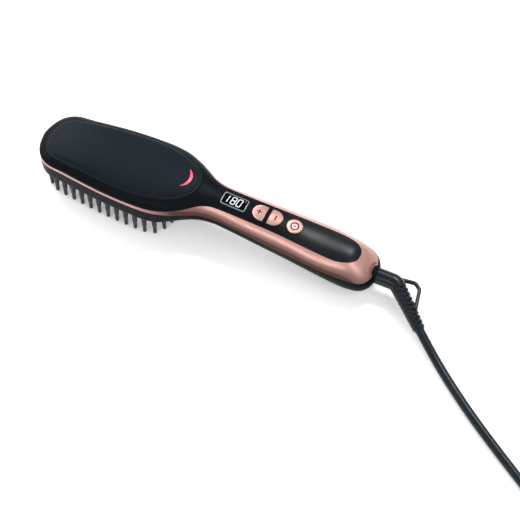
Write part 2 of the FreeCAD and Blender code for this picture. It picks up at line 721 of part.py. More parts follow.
def screw(x, y, seat, length, diameter, up=True):
    """A pan-head screw along Z with its head on the seat, above it or below it."""
    high, head_d = 0.7 * diameter, size("head_share") * diameter
    if up:
        head, shank = rod(x, y, seat, seat + high, head_d), rod(x, y, seat - length, seat, diameter)
    else:
        head, shank = rod(x, y, seat - high, seat, head_d), rod(x, y, seat, seat + length, diameter)
    return head.fuse(shank).removeSplitter()


# ---------------------------------------------------------------- control group

BUTTONS = [("plus_button", -1), ("minus_button", 1), ("power_button", 0)]


def button_centre(name):
    offset = size("pair_gap") / 2.0 + size("pair_cap_length") - size("pair_cap_width") / 2.0
    return {"plus_button": size("pair_place") - offset, "minus_button": size("pair_place") + offset,
            "power_button": size("power_place")}[name]


def bind_sketch(sketch, prefix, rows):
    """Add named dimensions to a sketch and tie each to the sheet."""
    for kind, name, points, value, expression in rows:
        index = sketch.addConstraint(Sketcher.Constraint(kind, *points, value))
        sketch.renameConstraint(index, f"{prefix}_{name}")
        sketch.setExpression(f"Constraints.{prefix}_{name}", expression)


def make_board():
    """The control board: a sketched outline with holes, padded to its thickness."""
    body = doc.addObject("PartDesign::Body", "control_board")
    body.Label = "control_board"
    sketch = body.newObject("Sketcher::SketchObject", "board_outline")
    plane = [f for f in body.Origin.OriginFeatures if f.Role == "XY_Plane"][0]
    sketch.AttachmentSupport = [(plane, "")]
    sketch.MapMode = "FlatFace"
    start, end, half = size("board_start"), size("board_end"), size("board_width") / 2.0
    corners = [Vector(start, -half, 0), Vector(end, -half, 0), Vector(end, half, 0), Vector(start, half, 0)]
    for a, b in zip(corners, corners[1:] + corners[:1]):
        sketch.addGeometry(Part.LineSegment(a, b), False)
    for i in range(4):
        sketch.addConstraint(Sketcher.Constraint("Coincident", i, 2, (i + 1) % 4, 1))
    for i, kind in enumerate(("Horizontal", "Vertical", "Horizontal")):
        sketch.addConstraint(Sketcher.Constraint(kind, i))
    sketch.addConstraint(Sketcher.Constraint("Symmetric", 3, 1, 3, 2, -1))
    for index, (x, y) in enumerate(board_screw_places()):
        hole = sketch.addGeometry(
            Part.Circle(Vector(x, y, 0), Vector(0, 0, 1), size("board_screw_d") / 2.0 + 0.15), False)
        bind_sketch(sketch, f"hole_{index}", [
            ("Diameter", "size", (hole,), size("board_screw_d") + 0.3, "sizes.board_screw_d + 0.3"),
            ("DistanceX", "along", (-1, 1, hole, 3), x,
             ("sizes.board_start + 12", "sizes.board_end - 8")[index]),
            ("DistanceY", "aside", (hole, 3, -1, 1) if index == 0 else (-1, 1, hole, 3), abs(y),
             "sizes.board_screw_side"),
        ])
    bind_sketch(sketch, "board", [
        ("DistanceX", "length", (0, 1, 0, 2), end - start, "sizes.board_end - sizes.board_start"),
        ("DistanceY", "width", (1, 1, 1, 2), 2 * half, "sizes.board_width"),
        ("DistanceX", "place", (-1, 1, 0, 1), start, "sizes.board_start"),
    ])
    pad = body.newObject("PartDesign::Pad", "board_pad")
    pad.Profile = sketch
    bind(pad, Length="sizes.board_thick")
    bind(body, Placement__Base__z="sizes.board_top - sizes.board_thick")
    doc.recompute()
    PARTS.append(body)


def board_screw_places():
    side = size("board_screw_side")
    return [(size("board_start") + 12.0, -side), (size("board_end") - 8.0, side)]


def make_controls():
    top = size("board_top")
    half = size("switch_size") / 2.0
    bases, hole = [], size("plunger_d") + 2.0 * size("plunger_gap")
    switch_top = top + size("switch_height")
    for name, side in BUTTONS:
        x = button_centre(name)
        base = box(x - half, x + half, -half, half, top, switch_top)
        bases.append(base.cut(rod(x, 0.0, switch_top - 1.9, switch_top + 1.0, hole)))
    add_shape("tact_switches", group(bases))

    caps = button_outlines()
    crown = body_form(-size("button_proud"))
    plunger_top = switch_top + size("plunger_proud")
    for name, side in BUTTONS:
        x = button_centre(name)
        outline = caps[name]
        bound = outline.BoundBox
        under = min(TOP(bound.XMin), TOP(bound.XMax)) - size("wall")
        under -= size("flange_clear") + size("cap_depth")
        cap = outline.common(crown).cut(box(0, 140, -30, 30, 0, under - size("flange_thick")))
        flange = button_outlines(size("button_gap") + size("flange_reach"))[name]
        if name != "power_button":
            middle = size("pair_place")
            x0, x1 = (0.0, middle - 0.2) if side < 0 else (middle + 0.2, BUTT)
            keep = box(x0, x1, -30, 30, 0, 70)
            flange = flange.common(keep)
        flange = flange.common(box(0, 140, -30, 30, under - size("flange_thick"), under))
        stem = rod(x, 0.0, plunger_top, under, size("stem_d"))
        add_shape(name, cap.fuse([flange, stem]).removeSplitter())
        plunger = rod(x, 0.0, switch_top - 0.8, plunger_top, size("plunger_d"))
        add_shape(name.replace("button", "plunger"), plunger)

    place = size("display_place")
    half_l, half_w = size("module_length") / 2.0, size("module_width") / 2.0
    add_shape("display_module", box(place - half_l, place + half_l, -half_w, half_w,
                                    top, top + size("module_height")))

    triac = box(size("triac_place") - 1.3, size("triac_place") + 1.3, -5.0, 5.0, top, top + 4.6)
    add_shape("triac", triac)
    capacitor = rod(size("capacitor_place"), 0.0, top, top + 4.4, 6.3)
    add_shape("filter_capacitor", capacitor)

    screws = group(screw(x, y, top, 6.0, size("board_screw_d")) for x, y in board_screw_places())
    add_shape("board_screws", screws)


def make_light():
    """Small board with the status light, hung under the upper shell behind the crescent."""
    x, level = size("light_place"), TOP(size("light_place")) - size("wall") - 3.0
    board = box(x - 5.0, x + 5.0, -8.0, 8.0, level - 1.0, level)
    led = box(x - 1.4, x + 1.4, -1.6, 1.6, level, level + 1.8)
    pegs = [rod(x - 3.0, side * 6.0, level, level + 2.4, 2.4) for side in (-1, 1)]
    add_shape("indicator_board", board.fuse(pegs))
    add_shape("indicator_led", led)


# ---------------------------------------------------------------- swivel, strain relief, lead

def ring_x(x0, x1, outer_d, inner_d):
    return rod_x(x0, x1, outer_d).cut(rod_x(x0 - 1.0, x1 + 1.0, inner_d))


def make_swivel():
    gap, run = size("core_gap"), 2.0 * size("running_gap")
    start, end = size("bush_start"), size("bush_end")
    add_shape("swivel_bush", ring_x(start, end, size("bush_d"), size("neck_d") + run))

    flange_end = start - gap
    flange_start = flange_end - size("core_flange_thick")
    core = rod_x(flange_start, flange_end, size("core_flange_d"))
    core = core.fuse(rod_x(flange_end - 0.5, BUTT + 0.4, size("neck_d")))
    core = core.fuse(rod_x(size("stub_start"), flange_start + 0.5, size("stub_d"))).removeSplitter()
    add_shape("swivel_core", core)

    wide = size("ring_width")
    rings = [ring_x(x, x + wide, size("ring_d"), size("stub_d"))
             for x in (size("stub_start") + 1.0, size("stub_start") + 2.0 + 2.0 * wide)]
    add_shape("slip_rings", group(rings))

    outer, wall = size("bush_d"), size("carrier_wall")
    carrier = rod_x(size("carrier_start"), start, outer)
    carrier = carrier.cut(rod_x(size("carrier_start") + wall, start + 1.0, outer - 2.0 * wall - 0.2))
    slot_places = [ring.BoundBox.Center.x for ring in rings]
    blades = []
    level = size("swivel_level")
    inner = size("ring_d") / 2.0 + 0.05
    for x in slot_places:
        half = size("blade_width") / 2.0
        blades.append(box(x - half, x + half, -2.0, 2.0, level + inner, level + outer / 2.0 - wall - 0.45))
    add_shape("contact_carrier", carrier)
    add_shape("contact_blades", group(blades))


def relief_frame():
    """Start point, unit direction and sideways direction of the strain relief behind its elbow."""
    turn, drop = math.radians(size("relief_turn")), math.radians(size("relief_drop"))
    direction = Vector(math.cos(drop) * math.cos(turn), -math.cos(drop) * math.sin(turn), -math.sin(drop))
    side = Vector(math.sin(turn), math.cos(turn), 0.0)
    return Vector(size("elbow_place"), 0.0, size("swivel_level")), direction, side


def make_relief():
    """Elbowed sleeve: ribs and gaps on the side of the loop, a smooth spine on the other."""
    start, direction, side = relief_frame()
    length, depth, count = size("relief_length"), size("rib_depth"), int(size("rib_count"))
    root_r, end_r = size("relief_d") / 2.0, size("relief_end_d") / 2.0
    root_long, collar = size("relief_root"), size("relief_collar")

    def sleeve(start_at, end_at, less=0.0):
        """A stretch of the tapered sleeve, a given depth under its surface."""
        r0, r1 = (root_r + (end_r - root_r) * at / length - less for at in (start_at, end_at))
        return Part.makeCone(r0, r1, end_at - start_at, start + direction * start_at, direction)

    body = rod_x(BUTT + 0.4, start.x, size("relief_d")).fuse(Part.makeSphere(root_r, start))
    body = body.fuse([sleeve(0.0, root_long), sleeve(0.0, length - collar / 2.0, depth),
                      sleeve(length - collar, length)])
    pitch = (length - root_long - collar) / count
    for index in range(count):
        gap_end = root_long + pitch * (index + 1)
        body = body.fuse(sleeve(gap_end - pitch * 0.5, gap_end))
    spine = sleeve(0.0, length)
    middle = start + direction * (length / 2.0) + side * size("spine_side")
    frame = Rotation(side, side.cross(direction) * -1.0, direction, "XYZ")
    half = Part.makeBox(2 * root_r, 4 * root_r, 1.2 * length, Vector(0.0, -2 * root_r, -0.6 * length))
    half.Placement = Placement(middle, frame)
    add_shape("strain_relief", body.fuse(spine.cut(half)).removeSplitter())


def make_loop():
    """Hanging loop: a flat strip that leaves the elbow and comes back to the strain relief."""
    start, direction, side = relief_frame()
    flat = Vector(direction.x, direction.y, 0.0)
    flat.normalize()
    level = start.z - 3.0
    outline = [(-3.0, 5.0), (4.8, 13.9), (11.0, 14.2), (25.0, 3.6)]
    points = [Vector(start.x, start.y, level) + flat * a + side * b for a, b in outline]
    wire = filleted_path(points, [3.2, 3.2])
    path_start = points[0]
    tangent = points[1] - points[0]
    thick, high = size("loop_thick") / 2.0, size("loop_high") / 2.0
    tangent.normalize()
    across = Vector(-tangent.y, tangent.x, 0.0)
    corners = [path_start + across * (thick * a) + Vector(0, 0, high * b)
               for a, b in ((-1, -1), (1, -1), (1, 1), (-1, 1))]
    profile = Part.makePolygon(corners + corners[:1])
    strip = Part.Wire(wire).makePipeShell([profile], True, True)
    relief = [p for p in PARTS if p.Label == "strain_relief"][0].Shape
    add_shape("hanging_loop", keep_largest(strip.cut(relief)))


def filleted_path(points, radii):
    """Edges of straight runs joined by tangent arcs of the given radii."""
    edges, last = [], points[0]
    for before, corner, after, radius in zip(points, points[1:], points[2:], radii):
        u, v = before - corner, after - corner
        u.normalize()
        v.normalize()
        turn = math.pi - u.getAngle(v)
        cut = radius * math.tan(turn / 2.0)
        a, b = corner + u * cut, corner + v * cut
        middle = u + v
        middle.normalize()
        centre = corner + middle * (radius / math.cos(turn / 2.0))
        top = centre - middle * radius
        edges.append(Part.LineSegment(last, a).toShape())
        edges.append(Part.Arc(a, top, b).toShape())
        last = b
    edges.append(Part.LineSegment(last, points[-1]).toShape())
    return edges


def cord_radii(points):
    """The bend radius at each inner point: as large as the two runs beside it allow."""
    radii = []
    for before, corner, after in zip(points, points[1:], points[2:]):
        u, v = corner - before, after - corner
        turn = u.getAngle(v)
        radii.append(0.45 * min(u.Length, v.Length) / math.tan(turn / 2.0))
    return radii


def cord_tube(route, label):
    points = [Vector(*p) for p in route]
    radii = cord_radii(points)
    print(label, "bend radii", [round(r, 1) for r in radii])
    edges = filleted_path(points, radii)
    wire = Part.Wire(edges)
    tangent = points[1] - points[0]
    circle = Part.Wire([Part.Circle(points[0], tangent, size("cord_d") / 2.0).toShape()])
    tube = wire.makePipeShell([circle], True, False)
    expected = math.pi * (size("cord_d") / 2.0) ** 2 * wire.Length
    print(label, "length", round(wire.Length, 1), "volume", round(tube.Volume, 1), "section x length",
          round(expected, 1))
    return tube


def make_cord():
    add_shape("power_cord", cord_tube(CORD_ROUTE, "cord"))
    add_shape("cord_tail", cord_tube(TAIL_ROUTE, "tail"))
    d = size("cord_d")
    outer = COIL_OUTER_TURN + d / 2.0
    inner = outer - COIL_TURNS_LOW * d
    rise = d * math.sin(math.pi / 3.0)
    x, y = COIL_CENTRE
    top = rise + d
    low, shoulder = 0.05, 0.75 * d
    profile = [(inner, low), (outer, low), (outer, shoulder), (outer - d / 2.0, top),
               (inner + d / 2.0, top), (inner, shoulder)]
    points = [Vector(x + r, y, z) for r, z in profile]
    face = Part.Face(Part.makePolygon(points + points[:1]))
    add_shape("cord_coil", face.revolve(Vector(x, y, 0), Vector(0, 0, 1), 360))


def make_plug():
    x, y, level = TAIL_ROUTE[-1]
    wide, thick = size("plug_width") / 2.0, size("plug_thick") / 2.0
    neck, length, end = size("plug_neck") / 2.0, size("plug_length"), size("plug_end")

    def outline(at, half, high):
        cut = high * 0.8
        corners = [(-half, -high + cut), (-half + cut, -high), (half - cut, -high), (half, -high + cut),
                   (half, high - cut), (half - cut, high), (-half + cut, high), (-half, high - cut)]
        points = [Vector(x + a, y + at, level + b) for a, b in corners]
        return Part.makePolygon(points + points[:1])

    body = Part.makeLoft([outline(0.0, neck + 1.0, neck), outline(end, neck + 2.5, neck + 0.6),
                          outline(length - end, wide, thick), outline(length, wide, thick)], True, True)
    add_shape("plug_body", body)
    pins = []
    tip_length = size("plug_pin_length")
    radius = size("plug_pin_d") / 2.0
    for side in (-1, 1):
        base = Vector(x + side * size("plug_pin_spacing") / 2.0, y + length, level)
        pin = Part.makeCylinder(radius, tip_length - radius, base, Vector(0, 1, 0))
        pin = pin.fuse(Part.makeSphere(radius, base + Vector(0, tip_length - radius, 0)))
        pins.append(pin.removeSplitter())
    add_shape("plug_pins", group(pins))


def make_housing_screws():
    screws = []
    for place in (size("front_screw"), size("rear_screw")):
        seat = BOTTOM(place) + 4.0
        length = size("board_top") - size("board_thick") - 2.0 + 6.0 - seat
        screws.append(screw(place, 0.0, seat, length, size("screw_d") - 0.1, up=False))
    add_shape("housing_screws", group(screws))


make_housing()
make_bristles()
make_heater()
make_board()
make_controls()
make_light()
make_swivel()
make_relief()
make_loop()
make_cord()
make_plug()
make_housing_screws()

doc.recompute()
for item in doc.Objects:
    if "Invalid" in item.State or "Error" in item.State:
        raise RuntimeError(f"{item.Label} did not compute: {item.State}")
for part in PARTS:
    if part.Shape.isNull() or not part.Shape.isValid() or not part.Shape.Solids:
        raise RuntimeError(f"{part.Label} has no valid shape")

os.makedirs("parts", exist_ok=True)
for part in PARTS:
    part.Shape.exportStep(os.path.join("parts", part.Label + ".step"))
print("sub-parts", len(PARTS))
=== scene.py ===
"""Finished look of a heated straightening brush, laid out as a Blender add-on and run as a script.

Everything is in metres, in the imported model's own frame: +X from the head to the lead, +Z up.
"""

import math

import bmesh
import bpy
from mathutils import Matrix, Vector
from mathutils.bvhtree import BVHTree
from mathutils.geometry import convex_hull_2d
import numpy as np


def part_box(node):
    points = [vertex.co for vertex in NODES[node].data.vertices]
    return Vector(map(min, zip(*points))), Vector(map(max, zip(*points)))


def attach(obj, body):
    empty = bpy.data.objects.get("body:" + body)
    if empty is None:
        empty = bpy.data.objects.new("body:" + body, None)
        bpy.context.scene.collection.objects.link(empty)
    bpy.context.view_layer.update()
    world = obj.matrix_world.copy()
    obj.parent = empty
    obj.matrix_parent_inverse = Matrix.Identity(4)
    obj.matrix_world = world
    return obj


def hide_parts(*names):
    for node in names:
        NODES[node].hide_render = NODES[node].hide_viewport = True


bl_info = {
    "name": "Straightening brush",
    "version": (1, 0, 0),
    "blender": (4, 5, 0),
    "location": "3D View > Sidebar > Brush",
    "description": "Lead, caps, marks, bristles and finishes of a heated straightening brush",
    "category": "Object",
}

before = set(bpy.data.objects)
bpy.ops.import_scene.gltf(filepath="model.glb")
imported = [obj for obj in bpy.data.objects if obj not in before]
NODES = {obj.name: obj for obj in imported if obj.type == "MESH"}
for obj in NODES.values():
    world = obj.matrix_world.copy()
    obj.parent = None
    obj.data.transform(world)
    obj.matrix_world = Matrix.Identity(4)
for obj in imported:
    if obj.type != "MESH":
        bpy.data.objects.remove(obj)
bpy.context.view_layer.update()
MM = 0.001
UP = Vector((0.0, 0.0, 1.0))

# ---------------------------------------------------------------- places

VIEW_AZIMUTH = math.radians(25.0)
VIEW_ELEVATION = math.radians(57.0)
VIEW_DISTANCE = 1.2
VIEW_TARGET = Vector((0.0565, -0.0275, 0.0215))
VIEW_LENS = 110.9

LEAD_ROUTE = [
    (0.1856, -0.0260, 0.0084), (0.2018, -0.0393, 0.0040), (0.2215, -0.0556, 0.00355),
    (0.2448, -0.0735, 0.00355), (0.2735, -0.0932, 0.00355), (0.3037, -0.1128, 0.00355),
    (0.3318, -0.1300, 0.00355), (0.3543, -0.1430, 0.00355),
]
TAIL_ROUTE = [
    (0.4243, -0.1006, 0.0097), (0.4247, -0.0840, 0.0089), (0.4237, -0.0660, 0.0073),
    (0.4233, -0.0500, 0.0070),
]
COIL_CENTRE = (0.3788, -0.1006)
COIL_START_ANGLE = -120.0
COIL_END_ANGLE = 2160.0
COIL_POINTS_PER_TURN = 16
COIL_LOW = 0.00355
COIL_HIGH = 0.0097
COIL_CROSSING = 0.0107
# Steps of the winding: angle in degrees, distance from the middle, height.
COIL_STEPS = [
    (-120, 0.0490, COIL_LOW), (170, 0.0490, COIL_LOW), (240, 0.0420, COIL_LOW),
    (530, 0.0420, COIL_LOW), (600, 0.0350, COIL_LOW), (890, 0.0350, COIL_LOW),
    (960, 0.0280, COIL_LOW), (1160, 0.0280, COIL_LOW), (1195, 0.0280, 0.0066),
    (1225, 0.0296, 0.0090), (1255, 0.0315, COIL_HIGH), (1530, 0.0315, COIL_HIGH),
    (1570, 0.0350, COIL_CROSSING), (1610, 0.0385, COIL_HIGH), (1890, 0.0385, COIL_HIGH),
    (1930, 0.0420, COIL_CROSSING), (1970, 0.0455, COIL_HIGH), (2160, 0.0455, COIL_HIGH),
]

LEAD_AXIS = 0.0165
ELBOW = Vector((0.1558, 0.0, LEAD_AXIS))
RELIEF_TURN = math.radians(41.0)
RELIEF_DROP = math.radians(11.5)
RELIEF_AXIS = Vector((math.cos(RELIEF_DROP) * math.cos(RELIEF_TURN),
                      -math.cos(RELIEF_DROP) * math.sin(RELIEF_TURN), -math.sin(RELIEF_DROP)))
RELIEF_SIDE = Vector((math.sin(RELIEF_TURN), math.cos(RELIEF_TURN), 0.0))
BUTT_END = 0.1408

RELIEF_LENGTH = 0.041
RELIEF_ROOT_RADIUS = 0.0063
RELIEF_END_RADIUS = 0.0047
RELIEF_ROOT = 0.0045
ELBOW_RADIUS = 0.009
SLOT_COUNT = 9
SLOT_PITCH = 0.0038
SLOT_SPREAD = 98.0
SLEEVE_SIDES = 56
SLEEVE_PITCH = 0.0002
# The sleeve's collar stands this much over the rest near its end, and starts this far from the end.
COLLAR_STEP = 0.0010
COLLAR_START = 0.0011
# A slot's edges and the softness of each, as shares of the pitch, and its faint trace on the back.
SLOT_EDGES = (0.36, 0.66)
SLOT_SOFT = 0.20
SLOT_TRACE = 0.00016
# Corners of the hanging loop in millimetres: along the sleeve and away from it.
LOOP_OUTLINE = [(-3.0, 5.0), (4.8, 13.9), (11.0, 14.2), (25.0, 3.6)]
LOOP_TURN_RADIUS = 0.0032
LOOP_PITCH = 0.0006
LOOP_HALF_WIDE = 0.0015
LOOP_HALF_HIGH = 0.0016

PLUS_MIDDLE = (0.0432, 0.0001)
MINUS_MIDDLE = (0.0566, 0.0001)
POWER_MIDDLE = (0.0723, 0.0)
KEY_STEPS = 96
KEY_RINGS = 12
KEY_SKIRT = 0.0015
MARK_LONG = 0.0046
# Height over a surface, and depth into it, of what is printed on it.
PRINT = (0.00005, 0.0001)
PANEL_STEPS = 200
PANEL_DEPTH = 0.0012
PANEL_SPINE_INSET = 0.026
# Degree along X, degree across (in pairs) and depth of the fit to the panel's top.
PANEL_FIT = (9, 5, 0.012)
CRESCENT_STEPS = 40
CRESCENT_WIDTH = 0.0023
# Lit figures: figure, left edge and width.
FIGURES = [("1", 0.0139, 0.0035), ("8", 0.0203, 0.0030), ("0", 0.0250, 0.0031)]
FIGURE_HEIGHT = 0.0066
FIGURE_LEAN = 0.10
FIGURE_MIDDLE = 0.0002
DEGREE_MIDDLE = (0.0302, 0.0034)
DEGREE_RADII = (0.0006, 0.00032)

# Painted shade: the dark brown that the rose coat is given where it faces down and in the bore at the butt,
# and the upward share where that painted shade starts and ends.
TRIM_PAINTED_SHADE = (0.060, 0.019, 0.014, 1.0)
TRIM_TURN = (0.36, 0.80)
# Places along X where the coat stops being a stripe round the head, over which the painted shade comes back
# in, and where the butt begins, past which the bore is painted as shade.
STRIPE_END = (-0.050, -0.018)
BUTT_START = (0.128, 0.130)
# Radius of the bore round the lead, inside which the coat is painted dark brown as shade.
BORE_EDGE = (0.0070, 0.0075)
DENT_MIDDLE = 0.1265
DENT_LONG = 0.0060
DENT_WIDE = 0.0100
# The floor: half its size, its height, the light it adds near and far, and where near and far are.
FLOOR_REACH = 6.0
FLOOR_LEVEL = -0.0002
FLOOR_LIFT = (0.30, 0.60)
FLOOR_RANGE = (0.6, 1.8)
# Lamps: name, place, aim, size along X and Y.
LAMPS = [
    ("key", (-1.30, 0.55, 0.95), (0.0, 0.0, 0.0), (1.5, 1.5)),
    ("crown", (0.17, 0.66, 1.18), (0.10, 0.0, 0.03), (0.30, 0.30)),
    ("side", (0.95, -0.25, 1.05), (0.08, 0.0, 0.0), (0.9, 0.9)),
    ("fill", (-0.15, -1.25, 0.95), (0.0, 0.0, 0.0), (1.0, 0.3)),
]

GRID_LONG = 120
GRID_WIDE = 60
OVERHEAD = 0.1

# Guard bristles: radius, sides, and the depth from each end in which a solid's corners show its lean.
GUARD_RADIUS = 0.0022
GUARD_SIDES = 16
GUARD_ROOT_DEPTH = 0.0004
GUARD_TIP_DEPTH = 0.0008
# A bristle has at least this many faces.
BRISTLE_FACES = 50
# Distance from the root and radius of a bristle, as shares, root to tip.
BRISTLE_PROFILE = [
    (0.000, 1.00), (0.020, 1.00), (0.060, 0.96), (0.200, 0.94), (0.400, 0.90), (0.520, 0.86),
    (0.570, 0.79), (0.620, 0.74), (0.750, 0.71), (0.900, 0.67), (0.940, 0.64), (0.962, 0.58),
    (0.978, 0.48), (0.989, 0.35), (0.996, 0.20), (1.000, 0.02),
]


# ---------------------------------------------------------------- node trees

def link_input(tree, node, name, value):
    """Give one socket of a node a value, or link it to another socket."""
    socket = node.inputs[name]
    if isinstance(value, bpy.types.NodeSocket):
        tree.links.new(value, socket)
    else:
        socket.default_value = value


def fill_sockets(tree, node, **values):
    """Give a node's sockets their values by name, or by index where the name is _0, _1 and so on."""
    for name, value in values.items():
        numbered = name[0] == "_" and name[1:].isdigit()
        link_input(tree, node, int(name[1:]) if numbered else name.replace("_", " "), value)


def add_node(tree, kind, settings=None, **values):
    """Add a node: settings are its own properties, values go to its sockets."""
    node = tree.nodes.new(kind)
    for name, value in (settings or {}).items():
        setattr(node, name, value)
    fill_sockets(tree, node, **values)
    return node


def maths(tree, operation, *values):
    """A Math node's result."""
    node = add_node(tree, "ShaderNodeMath", {"operation": operation})
    for index, value in enumerate(values):
        link_input(tree, node, index, value)
    return node.outputs[0]


def spread(tree, value, low, high, to_low, to_high, kind="LINEAR"):
    """Map a value from one range to another, without going past its ends."""
    return add_node(tree, "ShaderNodeMapRange", {"interpolation_type": kind}, Value=value, From_Min=low,
                    From_Max=high, To_Min=to_low, To_Max=to_high).outputs["Result"]


def blend(tree, first, share, second):
    """The sum of two values, each with its share: share for the first, the rest for the second."""
    return maths(tree, "ADD", maths(tree, "MULTIPLY", first, share),
                 maths(tree, "MULTIPLY", second, 1.0 - share))


def hypotenuse(tree, first, second):
    """Length of the vector with two given parts."""
    squares = [maths(tree, "POWER", value, 2.0) for value in (first, second)]
    return maths(tree, "SQRT", maths(tree, "ADD", *squares))


def object_place(tree):
    """The place of the shaded point in the object's own frame."""
    return tree.nodes.new("ShaderNodeTexCoord").outputs["Object"]


def axes(tree, vector):
    """The X, Y and Z of a vector."""
    return add_node(tree, "ShaderNodeSeparateXYZ", _0=vector).outputs


def new_group(name, inputs, outputs):
    """A shader node group with named float inputs and outputs; returns it with its two end nodes."""
    group = bpy.data.node_groups.new(name, "ShaderNodeTree")
    for label, default in inputs:
        socket = group.interface.new_socket(name=label, in_out="INPUT", socket_type="NodeSocketFloat")
        socket.default_value = default
    for label in outputs:
        group.interface.new_socket(name=label, in_out="OUTPUT", socket_type="NodeSocketFloat")
    return group, group.nodes.new("NodeGroupInput"), group.nodes.new("NodeGroupOutput")


def make_grain_group():
    """Moulded grain: a fine height pattern and a slow change of tone."""
    group, given, result = new_group("moulded_grain", [("Grain", 2500.0), ("Cloud", 60.0)],
                                     ["Height", "Tone"])
    place = object_place(group)
    fine = add_node(group, "ShaderNodeTexNoise", Vector=place, Scale=given.outputs["Grain"],
                    Detail=3.0, Roughness=0.55)
    pits = add_node(group, "ShaderNodeTexVoronoi", Vector=place, Scale=given.outputs["Grain"])
    cloud = add_node(group, "ShaderNodeTexNoise", Vector=place, Scale=given.outputs["Cloud"], Detail=4.0)
    fill_sockets(group, result, Height=blend(group, fine.outputs[0], 0.7, pits.outputs["Distance"]),
                 Tone=spread(group, cloud.outputs[0], 0.3, 0.7, 0.0, 1.0))
    return group


def make_wear_group():
    """Handling: faint smears and hair-fine scratches that run along the object."""
    group, given, result = new_group("handling_wear", [("Smear", 35.0), ("Scratch", 900.0)],
                                     ["Smears", "Scratches"])
    place = object_place(group)
    smear = add_node(group, "ShaderNodeTexNoise", Vector=place, Scale=given.outputs["Smear"],
                     Detail=5.0, Roughness=0.65, Distortion=0.6)
    along = add_node(group, "ShaderNodeMapping", Vector=place, Scale=(0.06, 1.0, 1.0))
    hair = add_node(group, "ShaderNodeTexNoise", Vector=along.outputs[0], Scale=given.outputs["Scratch"],
                    Detail=2.0)
    fill_sockets(group, result, Smears=spread(group, smear.outputs[0], 0.35, 0.7, 0.0, 1.0),
                 Scratches=spread(group, hair.outputs[0], 0.62, 0.72, 0.0, 1.0))
    return group


def grouped(tree, name, **values):
    """Place a shared group in a material with its own values; returns its outputs."""
    return add_node(tree, "ShaderNodeGroup", {"node_tree": GROUPS[name]}, **values).outputs


def blank_material(name):
    """A material with an empty node tree and its Principled shader and output in place."""
    material = bpy.data.materials.new(name)
    material.use_nodes = True
    tree = material.node_tree
    tree.nodes.clear()
    shader = tree.nodes.new("ShaderNodeBsdfPrincipled")
    output = tree.nodes.new("ShaderNodeOutputMaterial")
    tree.links.new(shader.outputs["BSDF"], output.inputs["Surface"])
    return material, tree, shader


def mixed_colour(tree, share, first, second):
    """A colour between two colours."""
    return add_node(tree, "ShaderNodeMix", {"data_type": "RGBA"}, _0=share, _6=first,
                    _7=second).outputs[2]


def rgba(colour, factor=1.0):
    """A colour with full alpha, made lighter or darker by a factor."""
    return (*(part * factor for part in colour), 1.0)


def add_relief(tree, shader, height, strength, distance):
    """Let a height pattern bend the shader's normal."""
    bump = add_node(tree, "ShaderNodeBump", Strength=strength, Distance=distance, Height=height)
    link_input(tree, shader, "Normal", bump.outputs["Normal"])


def worn_gloss(tree, low, high, scratch):
    """Roughness that goes from one value to another with the smears, and up in the scratches."""
    wear = grouped(tree, "wear")
    return maths(tree, "ADD", spread(tree, wear["Smears"], 0.0, 1.0, low, high),
                 maths(tree, "MULTIPLY", wear["Scratches"], scratch))


def moulded(name, colour, rough, grain=2500.0, relief=0.12, tone=0.12, smear=0.06, metallic=0.0,
            coat=0.0, specular=0.5, tint=None):
    """A moulded or coated surface: grain, slow tone, smears in its gloss and fine scratches."""
    material, tree, shader = blank_material(name)
    grains = grouped(tree, "grain", Grain=grain)
    fill_sockets(tree, shader, Roughness=worn_gloss(tree, rough - smear, rough + smear, 0.05),
                 Metallic=metallic, Coat_Weight=coat, Coat_Roughness=0.15, Specular_IOR_Level=specular,
                 Base_Color=mixed_colour(tree, grains["Tone"], rgba(colour, 1.0 - tone),
                                         rgba(colour, 1.0 + tone)))
    if tint:
        shader.inputs["Specular Tint"].default_value = rgba(tint)
    add_relief(tree, shader, grains["Height"], relief, 0.00004)
    return material


COOL = (0.70, 0.86, 1.0)
GROUPS = {}
FINISH = {}


# ---------------------------------------------------------------- finishes

def make_trim_finish_with_painted_shade(name, colour):
    """Rose metallic coat with fine flakes, painted dark brown as shade where it faces down and in the bore
    at the butt, with a shallow dent at the butt.
    """
    material, tree, shader = blank_material(name)
    place = object_place(tree)
    x, y, z = axes(tree, place)
    normal = tree.nodes.new("ShaderNodeNewGeometry").outputs["Normal"]
    grains = grouped(tree, "grain", Grain=5200.0, Cloud=45.0)
    flakes = add_node(tree, "ShaderNodeTexVoronoi", Vector=place, Scale=9000.0)
    tone = blend(tree, flakes.outputs["Color"], 0.7, grains["Tone"])
    rose = mixed_colour(tree, tone, rgba(colour, 0.92), rgba(colour, 1.05))
    # Painted shade: down-facing coat goes dark brown, mostly kept off the head's stripe, and so does the
    # bore at the butt.
    upward = maths(tree, "MAXIMUM", spread(tree, axes(tree, normal)["Z"], *TRIM_TURN, 0.0, 1.0),
                   spread(tree, x, *STRIPE_END, 0.85, 0.0))
    bore = hypotenuse(tree, y, maths(tree, "SUBTRACT", z, LEAD_AXIS))
    outside = maths(tree, "MAXIMUM", spread(tree, bore, *BORE_EDGE, 0.0, 1.0),
                    spread(tree, x, *BUTT_START, 1.0, 0.0))
    shade = maths(tree, "MULTIPLY", upward, outside)
    fill_sockets(tree, shader, Base_Color=mixed_colour(tree, shade, TRIM_PAINTED_SHADE, rose),
                 Roughness=worn_gloss(tree, 0.36, 0.43, 0.04), Metallic=0.8, Coat_Weight=0.16,
                 Coat_Roughness=0.30)
    along = maths(tree, "DIVIDE", maths(tree, "SUBTRACT", x, DENT_MIDDLE), DENT_LONG)
    ring = hypotenuse(tree, along, maths(tree, "DIVIDE", y, DENT_WIDE))
    dent = spread(tree, ring, 0.35, 1.0, 0.0, 1.0, "SMOOTHSTEP")
    height = maths(tree, "ADD", dent, maths(tree, "MULTIPLY", grains["Height"], 0.03))
    add_relief(tree, shader, height, 0.6, 0.0008)
    return material


